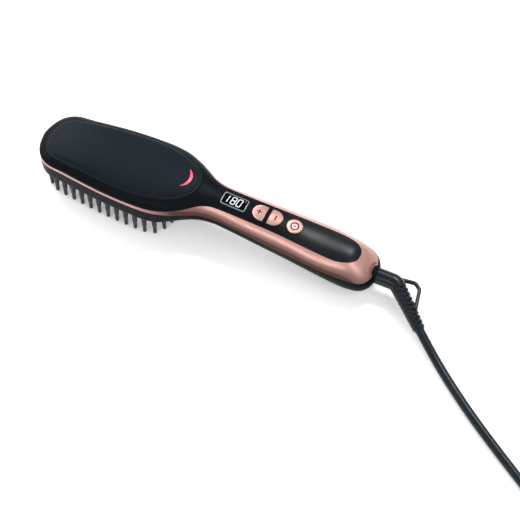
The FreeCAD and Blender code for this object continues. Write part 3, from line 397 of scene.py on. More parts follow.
def make_light_finish(colour):
    """Lit red lens with a fine crossed line pattern."""
    material, tree, shader = blank_material("lit_red_lens")
    place = object_place(tree)
    masks = []
    for turn in (0.9, -0.75):
        turned = add_node(tree, "ShaderNodeMapping", Vector=place, Rotation=(0.0, 0.0, turn))
        wave = add_node(tree, "ShaderNodeTexWave", {"bands_direction": "X"}, Vector=turned.outputs[0],
                        Scale=330.0, Distortion=0.0)
        masks.append(wave.outputs["Fac"])
    cells = maths(tree, "MULTIPLY", *masks)
    fill_sockets(tree, shader, Emission_Strength=0.95, Roughness=0.25,
                 Emission_Color=mixed_colour(tree, cells, rgba(colour, 0.78), (1.0, 0.30, 0.36, 1.0)),
                 Base_Color=mixed_colour(tree, cells, rgba(colour, 0.4), rgba(colour, 0.8)))
    add_relief(tree, shader, cells, 0.25, 0.0001)
    return material


def make_digit_finish(colour):
    """Lit display segments with a very slight unevenness of their glow."""
    material, tree, shader = blank_material("lit_segments")
    tone = grouped(tree, "grain", Grain=4000.0, Cloud=500.0)["Tone"]
    fill_sockets(tree, shader, Base_Color=(0.02, 0.02, 0.02, 1.0), Emission_Strength=1.1, Roughness=0.3,
                 Emission_Color=mixed_colour(tree, tone, rgba(colour, 0.93), rgba(colour)))
    return material


def make_board_finish():
    """Green circuit board with copper tracks under its lacquer."""
    material, tree, shader = blank_material("circuit_board")
    tracks = add_node(tree, "ShaderNodeTexBrick", Vector=object_place(tree), Scale=220.0,
                      Mortar_Size=0.03).outputs["Fac"]
    fill_sockets(tree, shader, Roughness=0.35,
                 Base_Color=mixed_colour(tree, tracks, (0.010, 0.085, 0.035, 1.0),
                                         (0.10, 0.16, 0.05, 1.0)))
    add_relief(tree, shader, tracks, 0.3, 0.00005)
    return material


def polish_strip(material):
    """A thin clear coat on the shell's narrow strip behind the keys."""
    tree = material.node_tree
    shader = next(node for node in tree.nodes if node.type == "BSDF_PRINCIPLED")
    x, _, z = axes(tree, object_place(tree))
    coat = maths(tree, "MULTIPLY", spread(tree, x, 0.050, 0.085, 0.0, 0.36),
                 spread(tree, z, 0.024, 0.029, 0.0, 1.0))
    fill_sockets(tree, shader, Coat_Weight=coat, Coat_Roughness=0.34)


def make_finishes(look):
    """Build the shared groups and every finish, keyed by the part's material slots."""
    GROUPS["grain"] = make_grain_group()
    GROUPS["wear"] = make_wear_group()
    FINISH.update({
        "black_shell": moulded("satin_black_shell", look.shell_colour, 0.36, grain=5200.0, relief=0.10,
                               specular=0.045, smear=0.03, tint=COOL),
        "glossy_panel": moulded("polished_panel", look.panel_colour, 0.46, grain=7000.0, relief=0.02,
                                tone=0.06, smear=0.03, specular=0.08, tint=COOL),
        # The band and the key caps both get the painted shade where they face down.
        "rose_metallic": make_trim_finish_with_painted_shade("rose_metallic_coat", look.trim_colour),
        "key_coat": make_trim_finish_with_painted_shade("rose_key_coat", look.key_colour),
        "display_glass": moulded("display_glass", (0.002, 0.002, 0.0025), 0.16, relief=0.01, smear=0.03,
                                 specular=0.06),
        "red_lens": make_light_finish(look.light_colour),
        "bristle_plastic": moulded("bristle_nylon", look.bristle_colour, 0.34, grain=6000.0,
                                   relief=0.10, specular=0.34, tint=COOL),
        "coated_metal": moulded("ceramic_coated_metal", (0.055, 0.052, 0.055), 0.34, grain=8000.0,
                                relief=0.15, metallic=0.55),
        "heater_ceramic": moulded("heater_ceramic", (0.62, 0.56, 0.46), 0.62, grain=3500.0, relief=0.3),
        "insulating_film": moulded("polyimide_film", (0.55, 0.24, 0.03), 0.22, relief=0.05, coat=0.4),
        "steel": moulded("plated_steel", (0.50, 0.50, 0.49), 0.30, grain=6000.0, metallic=1.0,
                         relief=0.12),
        # Dark rose brown: on the swivel bush it is painted shade next to the boot.
        "brown_nylon": moulded("rose_brown_nylon", (0.17, 0.070, 0.056), 0.5, relief=0.15, specular=0.2),
        "nylon": moulded("natural_nylon", (0.34, 0.33, 0.30), 0.42, relief=0.15),
        "board": make_board_finish(),
        "component": moulded("component_body", (0.025, 0.025, 0.028), 0.45, relief=0.25),
        "led": moulded("led_resin", (0.75, 0.30, 0.28), 0.18, relief=0.03, coat=0.5),
        "brass": moulded("contact_brass", (0.62, 0.42, 0.14), 0.27, metallic=1.0, relief=0.1),
        "cable_rubber": moulded("lead_rubber", look.lead_colour, 0.31, grain=3600.0, relief=0.10,
                                specular=0.27, smear=0.04, tint=COOL),
        "plug_plastic": moulded("plug_rubber", look.lead_colour, 0.46, grain=3000.0, relief=0.22),
        "pin_metal": moulded("nickel_pins", (0.58, 0.57, 0.54), 0.22, metallic=1.0, relief=0.06),
        "bezel": moulded("display_bezel_grey", look.bezel_colour, 0.30, relief=0.05, metallic=0.35),
        "mark": moulded("printed_mark", (0.006, 0.007, 0.008), 0.5, relief=0.05, specular=0.15),
        "digits": make_digit_finish(look.digit_colour),
    })
    polish_strip(FINISH["black_shell"])
    for name, node in NODES.items():
        slot = node.material_slots[0]
        slot.material = FINISH[slot.material.name.split(".")[0]]
    # The swivel bush is given a darkened rose brown: painted shade next to the boot.
    NODES["swivel_bush"].material_slots[0].material = FINISH["brown_nylon"]


# ---------------------------------------------------------------- shapes

def look_down(mesh):
    """A function that gives the highest point of a mesh over x and y, and the direction it faces."""
    tree = BVHTree.FromPolygons([v.co for v in mesh.vertices], [p.vertices[:] for p in mesh.polygons])
    return lambda x, y: tree.ray_cast(Vector((x, y, OVERHEAD)), -UP)[:2]


def fitted_top(node, degree_x, degree_y, depth):
    """Smooth height over a node's upper face, as a function of x and y: fitted to a grid of heights."""
    top_at = look_down(NODES[node].data)
    low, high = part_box(node)
    middle, reach_x, reach_y = (low.x + high.x) / 2, (high.x - low.x) / 2, (high.y - low.y) / 2
    powers = [(i, 2 * j) for i in range(degree_x + 1) for j in range(degree_y + 1)]

    def row(x, y):
        u, v = (x - middle) / reach_x, y / reach_y
        return [u ** i * v ** j for i, j in powers]

    table, heights = [], []
    for i in range(GRID_LONG + 1):
        for j in range(GRID_WIDE + 1):
            x = low.x + 2 * reach_x * i / GRID_LONG
            y = low.y + 2 * reach_y * j / GRID_WIDE
            point, facing = top_at(x, y)
            if point and facing.z > 0.6 and point.z > high.z - depth:
                table.append(row(x, y))
                heights.append(point.z)
    weights = np.linalg.lstsq(np.array(table), np.array(heights), rcond=None)[0]
    return lambda x, y: float(np.dot(row(x, y), weights))


def with_neighbours(loop):
    """Each item of a closed loop with the one before it and the one after it."""
    return zip(loop[-1:] + loop[:-1], loop, loop[1:] + loop[:1])


def run_lengths(points):
    """Distance along a line of points, up to each of them."""
    lengths = [0.0]
    for a, b in zip(points, points[1:]):
        lengths.append(lengths[-1] + (b - a).length)
    return lengths


def anticlockwise(loop):
    """A closed plan outline in counter-clockwise order."""
    area = sum(a.x * b.y - a.y * b.x for a, b in zip(loop, loop[1:] + loop[:1]))
    return loop if area > 0.0 else loop[::-1]


def inset_loop(loop, distance):
    """A closed plan outline (counter-clockwise) moved inwards."""
    moved = []
    for before, point, after in with_neighbours(loop):
        run = after - before
        moved.append(point + Vector((-run.y, run.x)).normalized() * distance)
    return moved


def walk(lengths, targets):
    """The run that each distance falls in, and how far along that run it is, as a share."""
    cursor = 0
    for target in targets:
        while cursor < len(lengths) - 2 and lengths[cursor + 1] < target:
            cursor += 1
        yield cursor, (target - lengths[cursor]) / max(lengths[cursor + 1] - lengths[cursor], 1e-12)


def even_loop(points, count):
    """A closed outline divided into equal steps."""
    closed = points + points[:1]
    lengths = run_lengths(closed)
    targets = [lengths[-1] * index / count for index in range(count)]
    return [closed[k].lerp(closed[k + 1], share) for k, share in walk(lengths, targets)]


def even_hull(corners, count):
    """The outline round a set of plan corners, counter-clockwise, in equal steps."""
    return anticlockwise(even_loop([corners[i] for i in convex_hull_2d(corners)], count))


def softened(loop, times):
    """A closed outline with its corners eased."""
    for _ in range(times):
        loop = [a * 0.25 + b * 0.5 + c * 0.25 for a, b, c in with_neighbours(loop)]
    return loop


def bridge_rings(bm, rings):
    """Quads between rings of corners of the same length, each ring closed."""
    for lower, upper in zip(rings, rings[1:]):
        for k in range(len(lower)):
            after = (k + 1) % len(lower)
            bm.faces.new((lower[k], lower[after], upper[after], upper[k]))


def close_end(bm, ring, middle=None):
    """Close a ring of corners with a fan round its middle."""
    if middle is None:
        middle = sum((v.co for v in ring), Vector()) / len(ring)
    pole = bm.verts.new(middle)
    for k in range(len(ring)):
        bm.faces.new((ring[k], ring[(k + 1) % len(ring)], pole))


def skin(bm, rings):
    """A closed body over a row of rings, with a fan on each end."""
    bridge_rings(bm, rings)
    close_end(bm, rings[0])
    close_end(bm, rings[-1])


def laid(surface, point, lift):
    """The place over a plan point at a height over a surface."""
    return point.x, point.y, surface(point.x, point.y) + lift


def lay_ring(bm, points, surface, lift):
    """Corners of a plan outline at a height over a surface."""
    return [bm.verts.new(laid(surface, p, lift)) for p in points]


def dished_block(bm, loop, profile, surface, steps, depth, hollow):
    """A closed shell over a plan outline. profile lists (inset, lift) from the wall to the inner face."""
    centre = sum(loop, Vector((0.0, 0.0))) / len(loop)
    inset, rim = profile[-1]
    inner = inset_loop(loop, inset)
    rings = [lay_ring(bm, [centre.lerp(p, k / (steps + 1)) for p in loop], surface, -depth)
             for k in range(1, steps + 1)]
    rings.append(lay_ring(bm, loop, surface, -depth))
    rings += [lay_ring(bm, inset_loop(loop, inset), surface, lift) for inset, lift in profile]
    for index in range(1, steps + 1):
        share = index / (steps + 1)
        rings.append(lay_ring(bm, [p.lerp(centre, share) for p in inner], surface, rim + hollow(share)))
    bridge_rings(bm, rings)
    close_end(bm, rings[0], laid(surface, centre, -depth))
    close_end(bm, rings[-1], laid(surface, centre, rim + hollow(1.0)))


def new_object(name, data):
    """An object that is linked to the scene."""
    made = bpy.data.objects.new(name, data)
    bpy.context.scene.collection.objects.link(made)
    return made


def add_piece(name, build, finish, body, replaced=()):
    """Make a mesh piece with a build function, give it its finish and hang it on its body."""
    bm = bmesh.new()
    build(bm)
    bmesh.ops.remove_doubles(bm, verts=bm.verts, dist=1e-7)
    bmesh.ops.recalc_face_normals(bm, faces=bm.faces)
    for face in bm.faces:
        face.smooth = True
    mesh = bpy.data.meshes.new(name)
    bm.to_mesh(mesh)
    bm.free()
    return place_piece(new_object(name, mesh), finish, body, replaced)


def place_piece(piece, finish, body, replaced=()):
    """Give a piece its finish, its body and slot, and the CAD nodes that it stands for."""
    piece.data.materials.clear()
    piece.data.materials.append(FINISH[finish])
    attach(piece, body)
    if replaced:
        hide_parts(*replaced)
    return piece


def rounded_box_loop(middle, length, width, radius, steps=6, run_steps=16):
    """Counter-clockwise outline of a rectangle with round corners and divided sides."""
    points = []
    for corner, (sx, sy) in enumerate(((1, 1), (-1, 1), (-1, -1), (1, -1))):
        x, y = middle[0] + sx * (length / 2 - radius), middle[1] + sy * (width / 2 - radius)
        arc = []
        for step in range(steps + 1):
            angle = math.radians(90.0 * corner + 90.0 * step / steps)
            arc.append(Vector((x + radius * math.cos(angle), y + radius * math.sin(angle))))
        if points:
            points += [points[-1].lerp(arc[0], k / run_steps) for k in range(1, run_steps)]
        points += arc
    return points + [points[-1].lerp(points[0], k / run_steps) for k in range(1, run_steps)]


def ribbon(bm, outline, surface, lift, depth):
    """A thin closed plate with a convex outline that lies on a surface."""
    middle = sum(outline, Vector((0.0, 0.0))) / len(outline)
    loop = even_loop(outline, 48)
    rings = [lay_ring(bm, loop, surface, -depth)]
    rings += [lay_ring(bm, [middle.lerp(p, share) for p in loop], surface, lift)
              for share in (1.0, 0.8, 0.6, 0.4, 0.2)]
    bridge_rings(bm, rings)
    close_end(bm, rings[0], laid(surface, middle, -depth))
    close_end(bm, rings[-1], laid(surface, middle, lift))


def ring_plate(bm, outer, inner, surface, lift, depth):
    """A thin closed ring between two outlines of the same number of points."""
    edge, shoulder = lift * 0.6, lift * 0.4
    rings = [lay_ring(bm, loop, surface, height) for loop, height in (
        (outer, -depth), (outer, shoulder), (inset_loop(outer, edge), lift),
        (inset_loop(inner, -edge), lift), (inner, shoulder), (inner, -depth))]
    bridge_rings(bm, rings + rings[:1])


def circle_loop(middle, radius, steps):
    """Counter-clockwise outline of a circle."""
    turns = [2 * math.pi * k / steps for k in range(steps)]
    return [Vector((middle[0] + radius * math.cos(a), middle[1] + radius * math.sin(a))) for a in turns]


def bar(middle, length, width, angle):
    """Outline of a short straight bar with chamfered ends."""
    along = Vector((math.cos(angle), math.sin(angle)))
    across = Vector((-along.y, along.x))
    half, side, cut = length / 2, width / 2, width * 0.3
    corners = [(half, 0.4 * side), (half - cut, side), (-half + cut, side), (-half, 0.4 * side),
               (-half, -0.4 * side), (-half + cut, -side), (half - cut, -side), (half, -0.4 * side)]
    return [Vector(middle) + along * a + across * b for a, b in corners]


def separate_solids(node):
    """The corners of each separate solid of a node, read from a merged copy."""
    bm = bmesh.new()
    bm.from_mesh(NODES[node].data)
    bmesh.ops.remove_doubles(bm, verts=bm.verts, dist=1e-6)
    seen, found = set(), []
    for start in bm.verts:
        if start in seen:
            continue
        stack, corners = [start], []
        seen.add(start)
        while stack:
            vert = stack.pop()
            corners.append(vert.co.copy())
            for edge in vert.link_edges:
                other = edge.other_vert(vert)
                if other not in seen:
                    seen.add(other)
                    stack.append(other)
        found.append(corners)
    bm.free()
    return found


# ---------------------------------------------------------------- settings

def colour_setting(name, description, default):
    """A colour that the user can set."""
    return bpy.props.FloatVectorProperty(name=name, description=description, default=default,
                                         subtype="COLOR", size=3, min=0.0, max=1.0)


def length_setting(name, description, default):
    """A length that the user can set."""
    return bpy.props.FloatProperty(name=name, description=description, default=default,
                                   subtype="DISTANCE", unit="LENGTH", min=0.0, precision=5)


def power_setting(name, description, default):
    """A lamp's power that the user can set."""
    return bpy.props.FloatProperty(name=name, description=description, default=default,
                                   unit="POWER", min=0.0)


class BrushLook(bpy.types.PropertyGroup):
    shell_colour: colour_setting("Shell", "Colour of the black housing", (0.0050, 0.0064, 0.0078))
    panel_colour: colour_setting("Panel", "Colour of the polished panel", (0.0066, 0.0100, 0.0132))
    trim_colour: colour_setting("Trim", "Colour of the metallic band", (0.62, 0.350, 0.308))
    key_colour: colour_setting("Keys", "Colour of the key caps", (0.37, 0.205, 0.180))
    light_colour: colour_setting("Light", "Colour of the crescent light", (0.90, 0.035, 0.10))
    bristle_colour: colour_setting("Bristles", "Colour of the guard bristles", (0.012, 0.016, 0.021))
    lead_colour: colour_setting("Lead", "Colour of the lead and its sleeve", (0.0075, 0.0095, 0.0115))
    bezel_colour: colour_setting("Bezel", "Colour of the display's frame", (0.19, 0.22, 0.25))
    digit_colour: colour_setting("Digits", "Colour of the lit digits", (0.98, 0.98, 1.0))


class BrushSizes(bpy.types.PropertyGroup):
    lead_diameter: length_setting("Lead", "Diameter of the lead", 0.007)
    panel_border: length_setting("Panel border", "Width of the panel's sloping border", 0.0027)
    panel_step: length_setting("Panel step", "Height of the panel's raised middle", 0.00045)
    bezel_width: length_setting("Bezel", "Width of the display's frame", 0.0009)
    digit_stroke: length_setting("Stroke", "Width of a display segment", 0.00072)
    key_bevel: length_setting("Key bevel", "Width of the bevel round each key", 0.0007)
    guard_length: length_setting("Guard bristles", "Length of a guard bristle", 0.0205)
    slot_depth: length_setting("Slots", "Depth of the slots in the lead's sleeve", 0.0013)


class StageSettings(bpy.types.PropertyGroup):
    floor_colour: colour_setting("Floor", "Colour of the floor", (0.93, 0.93, 0.93))
    key_power: power_setting("Key light", "Power of the large soft light", 21.0)
    crown_power: power_setting("Crown light", "Power of the light on the handle's crown", 10.0)
    side_power: power_setting("Side light", "Power of the light by the lead", 4.5)
    fill_power: power_setting("Fill light", "Power of the fill light", 5.0)
    sky: bpy.props.FloatProperty(name="Sky", description="Strength of the even light all round",
                                 default=0.46, min=0.0, max=2.0)


# ---------------------------------------------------------------- stage

def make_floor(colour):
    """A pale floor that the camera sees a little brighter than it is lit, most of all far away."""
    mesh = bpy.data.meshes.new("floor")
    mesh.from_pydata([(x * FLOOR_REACH, y * FLOOR_REACH, FLOOR_LEVEL)
                      for x, y in ((-1, -1), (1, -1), (1, 1), (-1, 1))], [], [(0, 1, 2, 3)])
    floor = new_object("floor", mesh)
    material, tree, shader = blank_material("pale_floor")
    path = tree.nodes.new("ShaderNodeLightPath")
    seen = maths(tree, "MAXIMUM", path.outputs["Is Camera Ray"], mirrored_ray(tree, path))
    away = add_node(tree, "ShaderNodeVectorMath", {"operation": "LENGTH"}, _0=object_place(tree))
    lift = spread(tree, away.outputs["Value"], *FLOOR_RANGE, *FLOOR_LIFT)
    fill_sockets(tree, shader, Base_Color=rgba(colour), Roughness=0.9, Specular_IOR_Level=0.0,
                 Emission_Color=(1.0, 1.0, 1.0, 1.0), Emission_Strength=maths(tree, "MULTIPLY", seen, lift))
    mesh.materials.append(material)


def mirrored_ray(tree, path):
    """1 for a ray that comes from a glossy or a clear surface."""
    return maths(tree, "MAXIMUM", path.outputs["Is Glossy Ray"], path.outputs["Is Transmission Ray"])


def make_world(strength):
    """Even light all round that is seen as white by the camera, and near the horizon in reflections."""
    world = bpy.data.worlds.new("studio")
    world.use_nodes = True
    tree = world.node_tree
    tree.nodes.clear()
    height = axes(tree, tree.nodes.new("ShaderNodeTexCoord").outputs["Generated"])["Z"]
    path = tree.nodes.new("ShaderNodeLightPath")
    wall = maths(tree, "MULTIPLY", mirrored_ray(tree, path), spread(tree, height, 0.02, 0.14, 1.0, 0.0))
    white = maths(tree, "MAXIMUM", path.outputs["Is Camera Ray"], wall)
    level = maths(tree, "ADD", maths(tree, "MULTIPLY", white, 1.0 - strength), strength)
    background = add_node(tree, "ShaderNodeBackground", Color=(1.0, 1.0, 1.0, 1.0), Strength=level)
    add_node(tree, "ShaderNodeOutputWorld", Surface=background.outputs[0])
    bpy.context.scene.world = world


def face_along(thing, place, direction):
    """Put a lamp or a camera at a place and let it look in a direction."""
    thing.location = place
    thing.rotation_mode = "QUATERNION"
    thing.rotation_quaternion = direction.to_track_quat("-Z", "Y")


def make_lamp(name, place, aim, size, power):
    """A soft light that faces the place it is aimed at."""
    lamp = bpy.data.lights.new(name, "AREA")
    lamp.shape = "RECTANGLE"
    lamp.size, lamp.size_y = size
    lamp.energy = power
    face_along(new_object(name, lamp), Vector(place), Vector(aim) - Vector(place))


def make_camera():
    """A long lens that looks down at the brush from the front right."""
    lens = bpy.data.cameras.new("camera")
    lens.lens, lens.sensor_width = VIEW_LENS, 36.0
    lens.clip_start, lens.clip_end = 0.05, 30.0
    camera = new_object("camera", lens)
    back = Vector((math.sin(VIEW_AZIMUTH) * math.cos(VIEW_ELEVATION),
                   -math.cos(VIEW_AZIMUTH) * math.cos(VIEW_ELEVATION), math.sin(VIEW_ELEVATION)))
    face_along(camera, VIEW_TARGET + back * VIEW_DISTANCE, -back)
    bpy.context.scene.camera = camera


class BRUSH_OT_stage(bpy.types.Operator):
    """Make the camera, the floor, the world and the lamps."""
    bl_idname = "brush.stage"
    bl_label = "Stage"

    def execute(self, context):
        settings = context.scene.brush_stage
        context.scene.view_settings.view_transform = "Standard"
        make_camera()
        make_floor(settings.floor_colour)
        make_world(settings.sky)
        for name, place, aim, size in LAMPS:
            make_lamp(name, place, aim, size, getattr(settings, name + "_power"))
        return {"FINISHED"}


class BRUSH_OT_finishes(bpy.types.Operator):
    """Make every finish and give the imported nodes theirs."""
    bl_idname = "brush.finishes"
    bl_label = "Finishes"

    def execute(self, context):
        make_finishes(context.scene.brush_look)
        return {"FINISHED"}


# ---------------------------------------------------------------- lead and plug

def coil_place(angle):
    """Distance from the coil's middle and height at an angle, eased between the steps."""
    for (a0, r0, z0), (a1, r1, z1) in zip(COIL_STEPS, COIL_STEPS[1:]):
        if angle <= a1:
            share = (angle - a0) / (a1 - a0)
            eased = share * share * (3.0 - 2.0 * share)
            return r0 + (r1 - r0) * eased, z0 + (z1 - z0) * eased
    return COIL_STEPS[-1][1:]


def coil_points():
    """Control points of the winding, drawn out so that the smooth line keeps each turn's radius."""
    count = round((COIL_END_ANGLE - COIL_START_ANGLE) * COIL_POINTS_PER_TURN / 360.0)
    draw = 1.0 / math.cos(math.pi / COIL_POINTS_PER_TURN)
    points = []
    for index in range(1, count):
        angle = COIL_START_ANGLE + (COIL_END_ANGLE - COIL_START_ANGLE) * index / count
        radius, height = coil_place(angle)
        turn = math.radians(angle)
        points.append((COIL_CENTRE[0] + radius * draw * math.cos(turn),
                       COIL_CENTRE[1] + radius * draw * math.sin(turn), height))
    return points


def make_lead(diameter):
    """The lead as a smooth line: out of the sleeve, round the winding and up to the plug."""
    curve = bpy.data.curves.new("lead", "CURVE")
    curve.dimensions = "3D"
    spline = curve.splines.new("NURBS")
    points = LEAD_ROUTE + coil_points() + TAIL_ROUTE
    spline.points.add(len(points) - 1)
    for point, place in zip(spline.points, points):
        point.co = (*place, 1.0)
    spline.order_u = 3
    spline.use_endpoint_u = True
    spline.resolution_u = 6
    curve.bevel_depth = diameter / 2.0
    curve.bevel_resolution = 6
    curve.use_fill_caps = True
    return new_object("lead", curve)


def superellipse_ring(bm, middle, across, up, half_across, half_up, power, count):
    """Corners of a rounded-rectangle section."""
    ring = []
    for k in range(count):
        angle = 2.0 * math.pi * k / count
        c, s = math.cos(angle), math.sin(angle)
        a = math.copysign(abs(c) ** (2.0 / power), c) * half_across
        b = math.copysign(abs(s) ** (2.0 / power), s) * half_up
        ring.append(bm.verts.new(middle + across * a + up * b))
    return ring


def build_plug(bm):
    """Flat two-pin plug: round neck with grooves, shoulders and a rounded front."""
    x, y, level = TAIL_ROUTE[-1]
    rings = []
    stations = [(0.0000, 0.0044, 0.0038, 2.0), (0.0003, 0.0050, 0.0043, 2.0)]
    for groove in range(4):
        start = 0.0012 + 0.0021 * groove
        swell = 0.0004 * groove
        stations += [(start, 0.0054 + swell, 0.0046 + swell / 3, 2.1),
                     (start + 0.0009, 0.0055 + swell, 0.0047 + swell / 3, 2.1),
                     (start + 0.0011, 0.0047 + swell, 0.0040 + swell / 3, 2.1),
                     (start + 0.0018, 0.0048 + swell, 0.0040 + swell / 3, 2.1)]
    stations += [(0.0100, 0.0073, 0.0050, 2.3), (0.0130, 0.0086, 0.0052, 2.5),
                 (0.0170, 0.0107, 0.0056, 2.8), (0.0215, 0.0133, 0.0061, 3.2),
                 (0.0260, 0.0158, 0.0065, 3.6), (0.0300, 0.0172, 0.0067, 4.0),
                 (0.0335, 0.01755, 0.0068, 4.2), (0.0350, 0.0174, 0.0067, 4.2),
                 (0.0357, 0.0169, 0.0063, 4.0), (0.0360, 0.0160, 0.0056, 3.6)]
    for at, half, high, power in stations:
        rings.append(superellipse_ring(bm, Vector((x, y + at, level)), Vector((-1.0, 0.0, 0.0)), UP,
                                       half, high, power, 48))
    skin(bm, rings)


class BRUSH_OT_lead(bpy.types.Operator):
    """Lay the lead with its stored winding and put the plug on its end."""
    bl_idname = "brush.lead"
    bl_label = "Lead"

    def execute(self, context):
        sizes = context.scene.brush_sizes
        lead = place_piece(make_lead(sizes.lead_diameter), "cable_rubber", "swivel",
                           ("power_cord", "cord_coil", "cord_tail"))
        plug = add_piece("plug", build_plug, "plug_plastic", "swivel", ("plug_body",))
        return {"FINISHED"}


# ---------------------------------------------------------------- sleeve and loop

def rounded_path(points, radii, step_angle=2.5):
    """Corners of a path eased with arcs; straight stretches keep only their ends."""
    path = [points[0]]
    for before, corner, after, radius in zip(points, points[1:], points[2:], radii):
        to_start, to_end = (before - corner).normalized(), (after - corner).normalized()
        half = to_start.angle(to_end) / 2.0
        cut = radius / math.tan(half)
        middle = corner + (to_start + to_end).normalized() * (radius / math.sin(half))
        first, last = corner + to_start * cut - middle, corner + to_end * cut - middle
        turn = first.angle(last)
        steps = max(2, round(math.degrees(turn) / step_angle))
        for k in range(steps + 1):
            share = k / steps
            path.append(middle + (first * math.sin((1 - share) * turn) + last * math.sin(share * turn))
                        / math.sin(turn))
    return path + [points[-1]]


def path_stations(path, pitch):
    """Even places along a path: distance, point and smooth direction."""
    runs = [(b - a).normalized() for a, b in zip(path, path[1:])]
    turns = [runs[0]] + [(a + b).normalized() for a, b in zip(runs, runs[1:])] + [runs[-1]]
    lengths = run_lengths(path)
    count = max(2, round(lengths[-1] / pitch))
    places = [lengths[-1] * index / count for index in range(count + 1)]
    return [(at, path[k].lerp(path[k + 1], share), turns[k].lerp(turns[k + 1], share).normalized())
            for at, (k, share) in zip(places, walk(lengths, places))]


def plateau(value, start, end, soft):
    """1 between start and end, falling smoothly to 0 over a distance outside."""
    rise = min(max((value - start) / soft + 0.5, 0.0), 1.0)
    fall = min(max((end - value) / soft + 0.5, 0.0), 1.0)
    share = min(rise, fall)
    return share * share * (3.0 - 2.0 * share)


def build_sleeve(slot_depth):
    """Tapered sleeve round the lead, with an elbow, slots across its side and a collar at its end."""
    def build(bm):
        start = Vector((BUTT_END, 0.0, ELBOW.z))
        end = ELBOW + RELIEF_AXIS * RELIEF_LENGTH
        path = rounded_path([start, ELBOW, end], [ELBOW_RADIUS])
        stations = path_stations(path, SLEEVE_PITCH)
        total = stations[-1][0]
        turn_axis = Vector((1.0, 0.0, 0.0)).cross(RELIEF_AXIS).normalized()
        rings = []
        for at, point, direction in stations:
            across = turn_axis.cross(direction)
            behind = total - at
            share = min(max(1.0 - behind / RELIEF_LENGTH, 0.0), 1.0)
            radius = RELIEF_ROOT_RADIUS + (RELIEF_END_RADIUS - RELIEF_ROOT_RADIUS) * share
            radius -= COLLAR_STEP * (1.0 - plateau(behind, COLLAR_START, 1.0, 0.0020))
            place = (RELIEF_LENGTH - RELIEF_ROOT - behind) / SLOT_PITCH
            in_slots = 0.0 < place < SLOT_COUNT
            slot = plateau(place % 1.0, *SLOT_EDGES, SLOT_SOFT) if in_slots else 0.0
            ring = []
            for k in range(SLEEVE_SIDES):
                angle = 2.0 * math.pi * k / SLEEVE_SIDES
                outward = across * math.cos(angle) + turn_axis * math.sin(angle)
                off_side = math.degrees(outward.angle(RELIEF_SIDE))
                cut = plateau(off_side, -1.0, SLOT_SPREAD, 9.0)
                depth = slot * (slot_depth * cut + SLOT_TRACE * (1.0 - cut))
                ring.append(bm.verts.new(point + outward * (radius - depth)))
            rings.append(ring)
        skin(bm, rings)
    return build


def build_loop(bm):
    """Rounded strip that leaves the elbow and comes back to the sleeve."""
    flat = Vector((RELIEF_AXIS.x, RELIEF_AXIS.y, 0.0)).normalized()
    middle = Vector((ELBOW.x, ELBOW.y, ELBOW.z - 0.003))
    corners = [middle + flat * a * MM + RELIEF_SIDE * b * MM for a, b in LOOP_OUTLINE]
    path = rounded_path(corners, [LOOP_TURN_RADIUS] * (len(corners) - 2))
    rings = []
    for _, point, direction in path_stations(path, LOOP_PITCH):
        across = Vector((-direction.y, direction.x, 0.0)).normalized()
        rings.append(superellipse_ring(bm, point, across, UP, LOOP_HALF_WIDE, LOOP_HALF_HIGH, 2.6, 20))
    skin(bm, rings)


class BRUSH_OT_sleeve(bpy.types.Operator):
    """Mould the slotted sleeve of the lead and its hanging loop."""
    bl_idname = "brush.sleeve"
    bl_label = "Sleeve and loop"

    def execute(self, context):
        depth = context.scene.brush_sizes.slot_depth
        add_piece("lead_sleeve", build_sleeve(depth), "cable_rubber", "swivel",
                  ("strain_relief",))
        add_piece("sleeve_loop", build_loop, "cable_rubber", "swivel", ("hanging_loop",))
        return {"FINISHED"}


# ---------------------------------------------------------------- head panel

def panel_outline():
    """The panel's outline in plan, counter-clockwise, in even steps."""
    return softened(even_hull([Vector(v.co.xy) for v in NODES["top_panel"].data.vertices], PANEL_STEPS), 6)


def build_panel(border, step):
    """Panel with a rounded rim, a sloping border and a raised middle."""
    def build(bm):
        surface = fitted_top("top_panel", *PANEL_FIT)
        loop = panel_outline()
        spine_low = min(p.x for p in loop) + PANEL_SPINE_INSET
        spine_high = max(p.x for p in loop) - PANEL_SPINE_INSET
        profile = [(0.0, -0.00055), (0.00008, -0.0001), (0.00025, 0.00012), (0.00045, 0.00018),
                   (0.00065, 0.00016), (0.0009, 0.00006), (0.0012, 0.0),
                   (border - 0.0006, 0.0), (border - 0.0002, 0.00004), (border + 0.0002, step * 0.45),
                   (border + 0.0006, step * 0.90), (border + 0.0011, step)]
        inner = inset_loop(loop, profile[-1][0])
        targets = [Vector((min(max(p.x, spine_low), spine_high), 0.0)) for p in inner]
        rings = [lay_ring(bm, loop, surface, -PANEL_DEPTH)]
        rings += [lay_ring(bm, inset_loop(loop, inset), surface, lift) for inset, lift in profile]
        rings += [lay_ring(bm, [p.lerp(t, share) for p, t in zip(inner, targets)], surface, step)
                  for share in (0.06, 0.14, 0.24, 0.35, 0.47, 0.59, 0.71, 0.83, 0.93)]
        bridge_rings(bm, rings)
        fill_spine(bm, rings[-1])
        fill_spine(bm, rings[0])
    return build


def fill_spine(bm, ring):
    """Close a long ring by pairing its far and near sides."""
    bmesh.ops.triangle_fill(bm, use_beauty=True, use_dissolve=False,
                            edges=[bm.edges.get((ring[k], ring[(k + 1) % len(ring)]))
                                   for k in range(len(ring))])


def crescent_loop(inset):
    """Outline of the light between its two arcs, counter-clockwise, with rounded ends."""
    low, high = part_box("indicator_lens")
    middle_y, half = (low.y + high.y) / 2.0, (high.y - low.y) / 2.0
    loop = []
    for bulge, direction in ((high.x - low.x, 1), (high.x - low.x - CRESCENT_WIDTH, -1)):
        radius = (half * half + bulge * bulge) / (2.0 * bulge)
        reach = math.asin(half / radius)
        for k in range(CRESCENT_STEPS):
            angle = direction * reach * (2.0 * k / CRESCENT_STEPS - 1.0)
            loop.append(Vector((low.x + bulge - radius + radius * math.cos(angle),
                                middle_y + radius * math.sin(angle))))
    return inset_loop(softened(even_loop(loop, 2 * CRESCENT_STEPS), 3), inset)


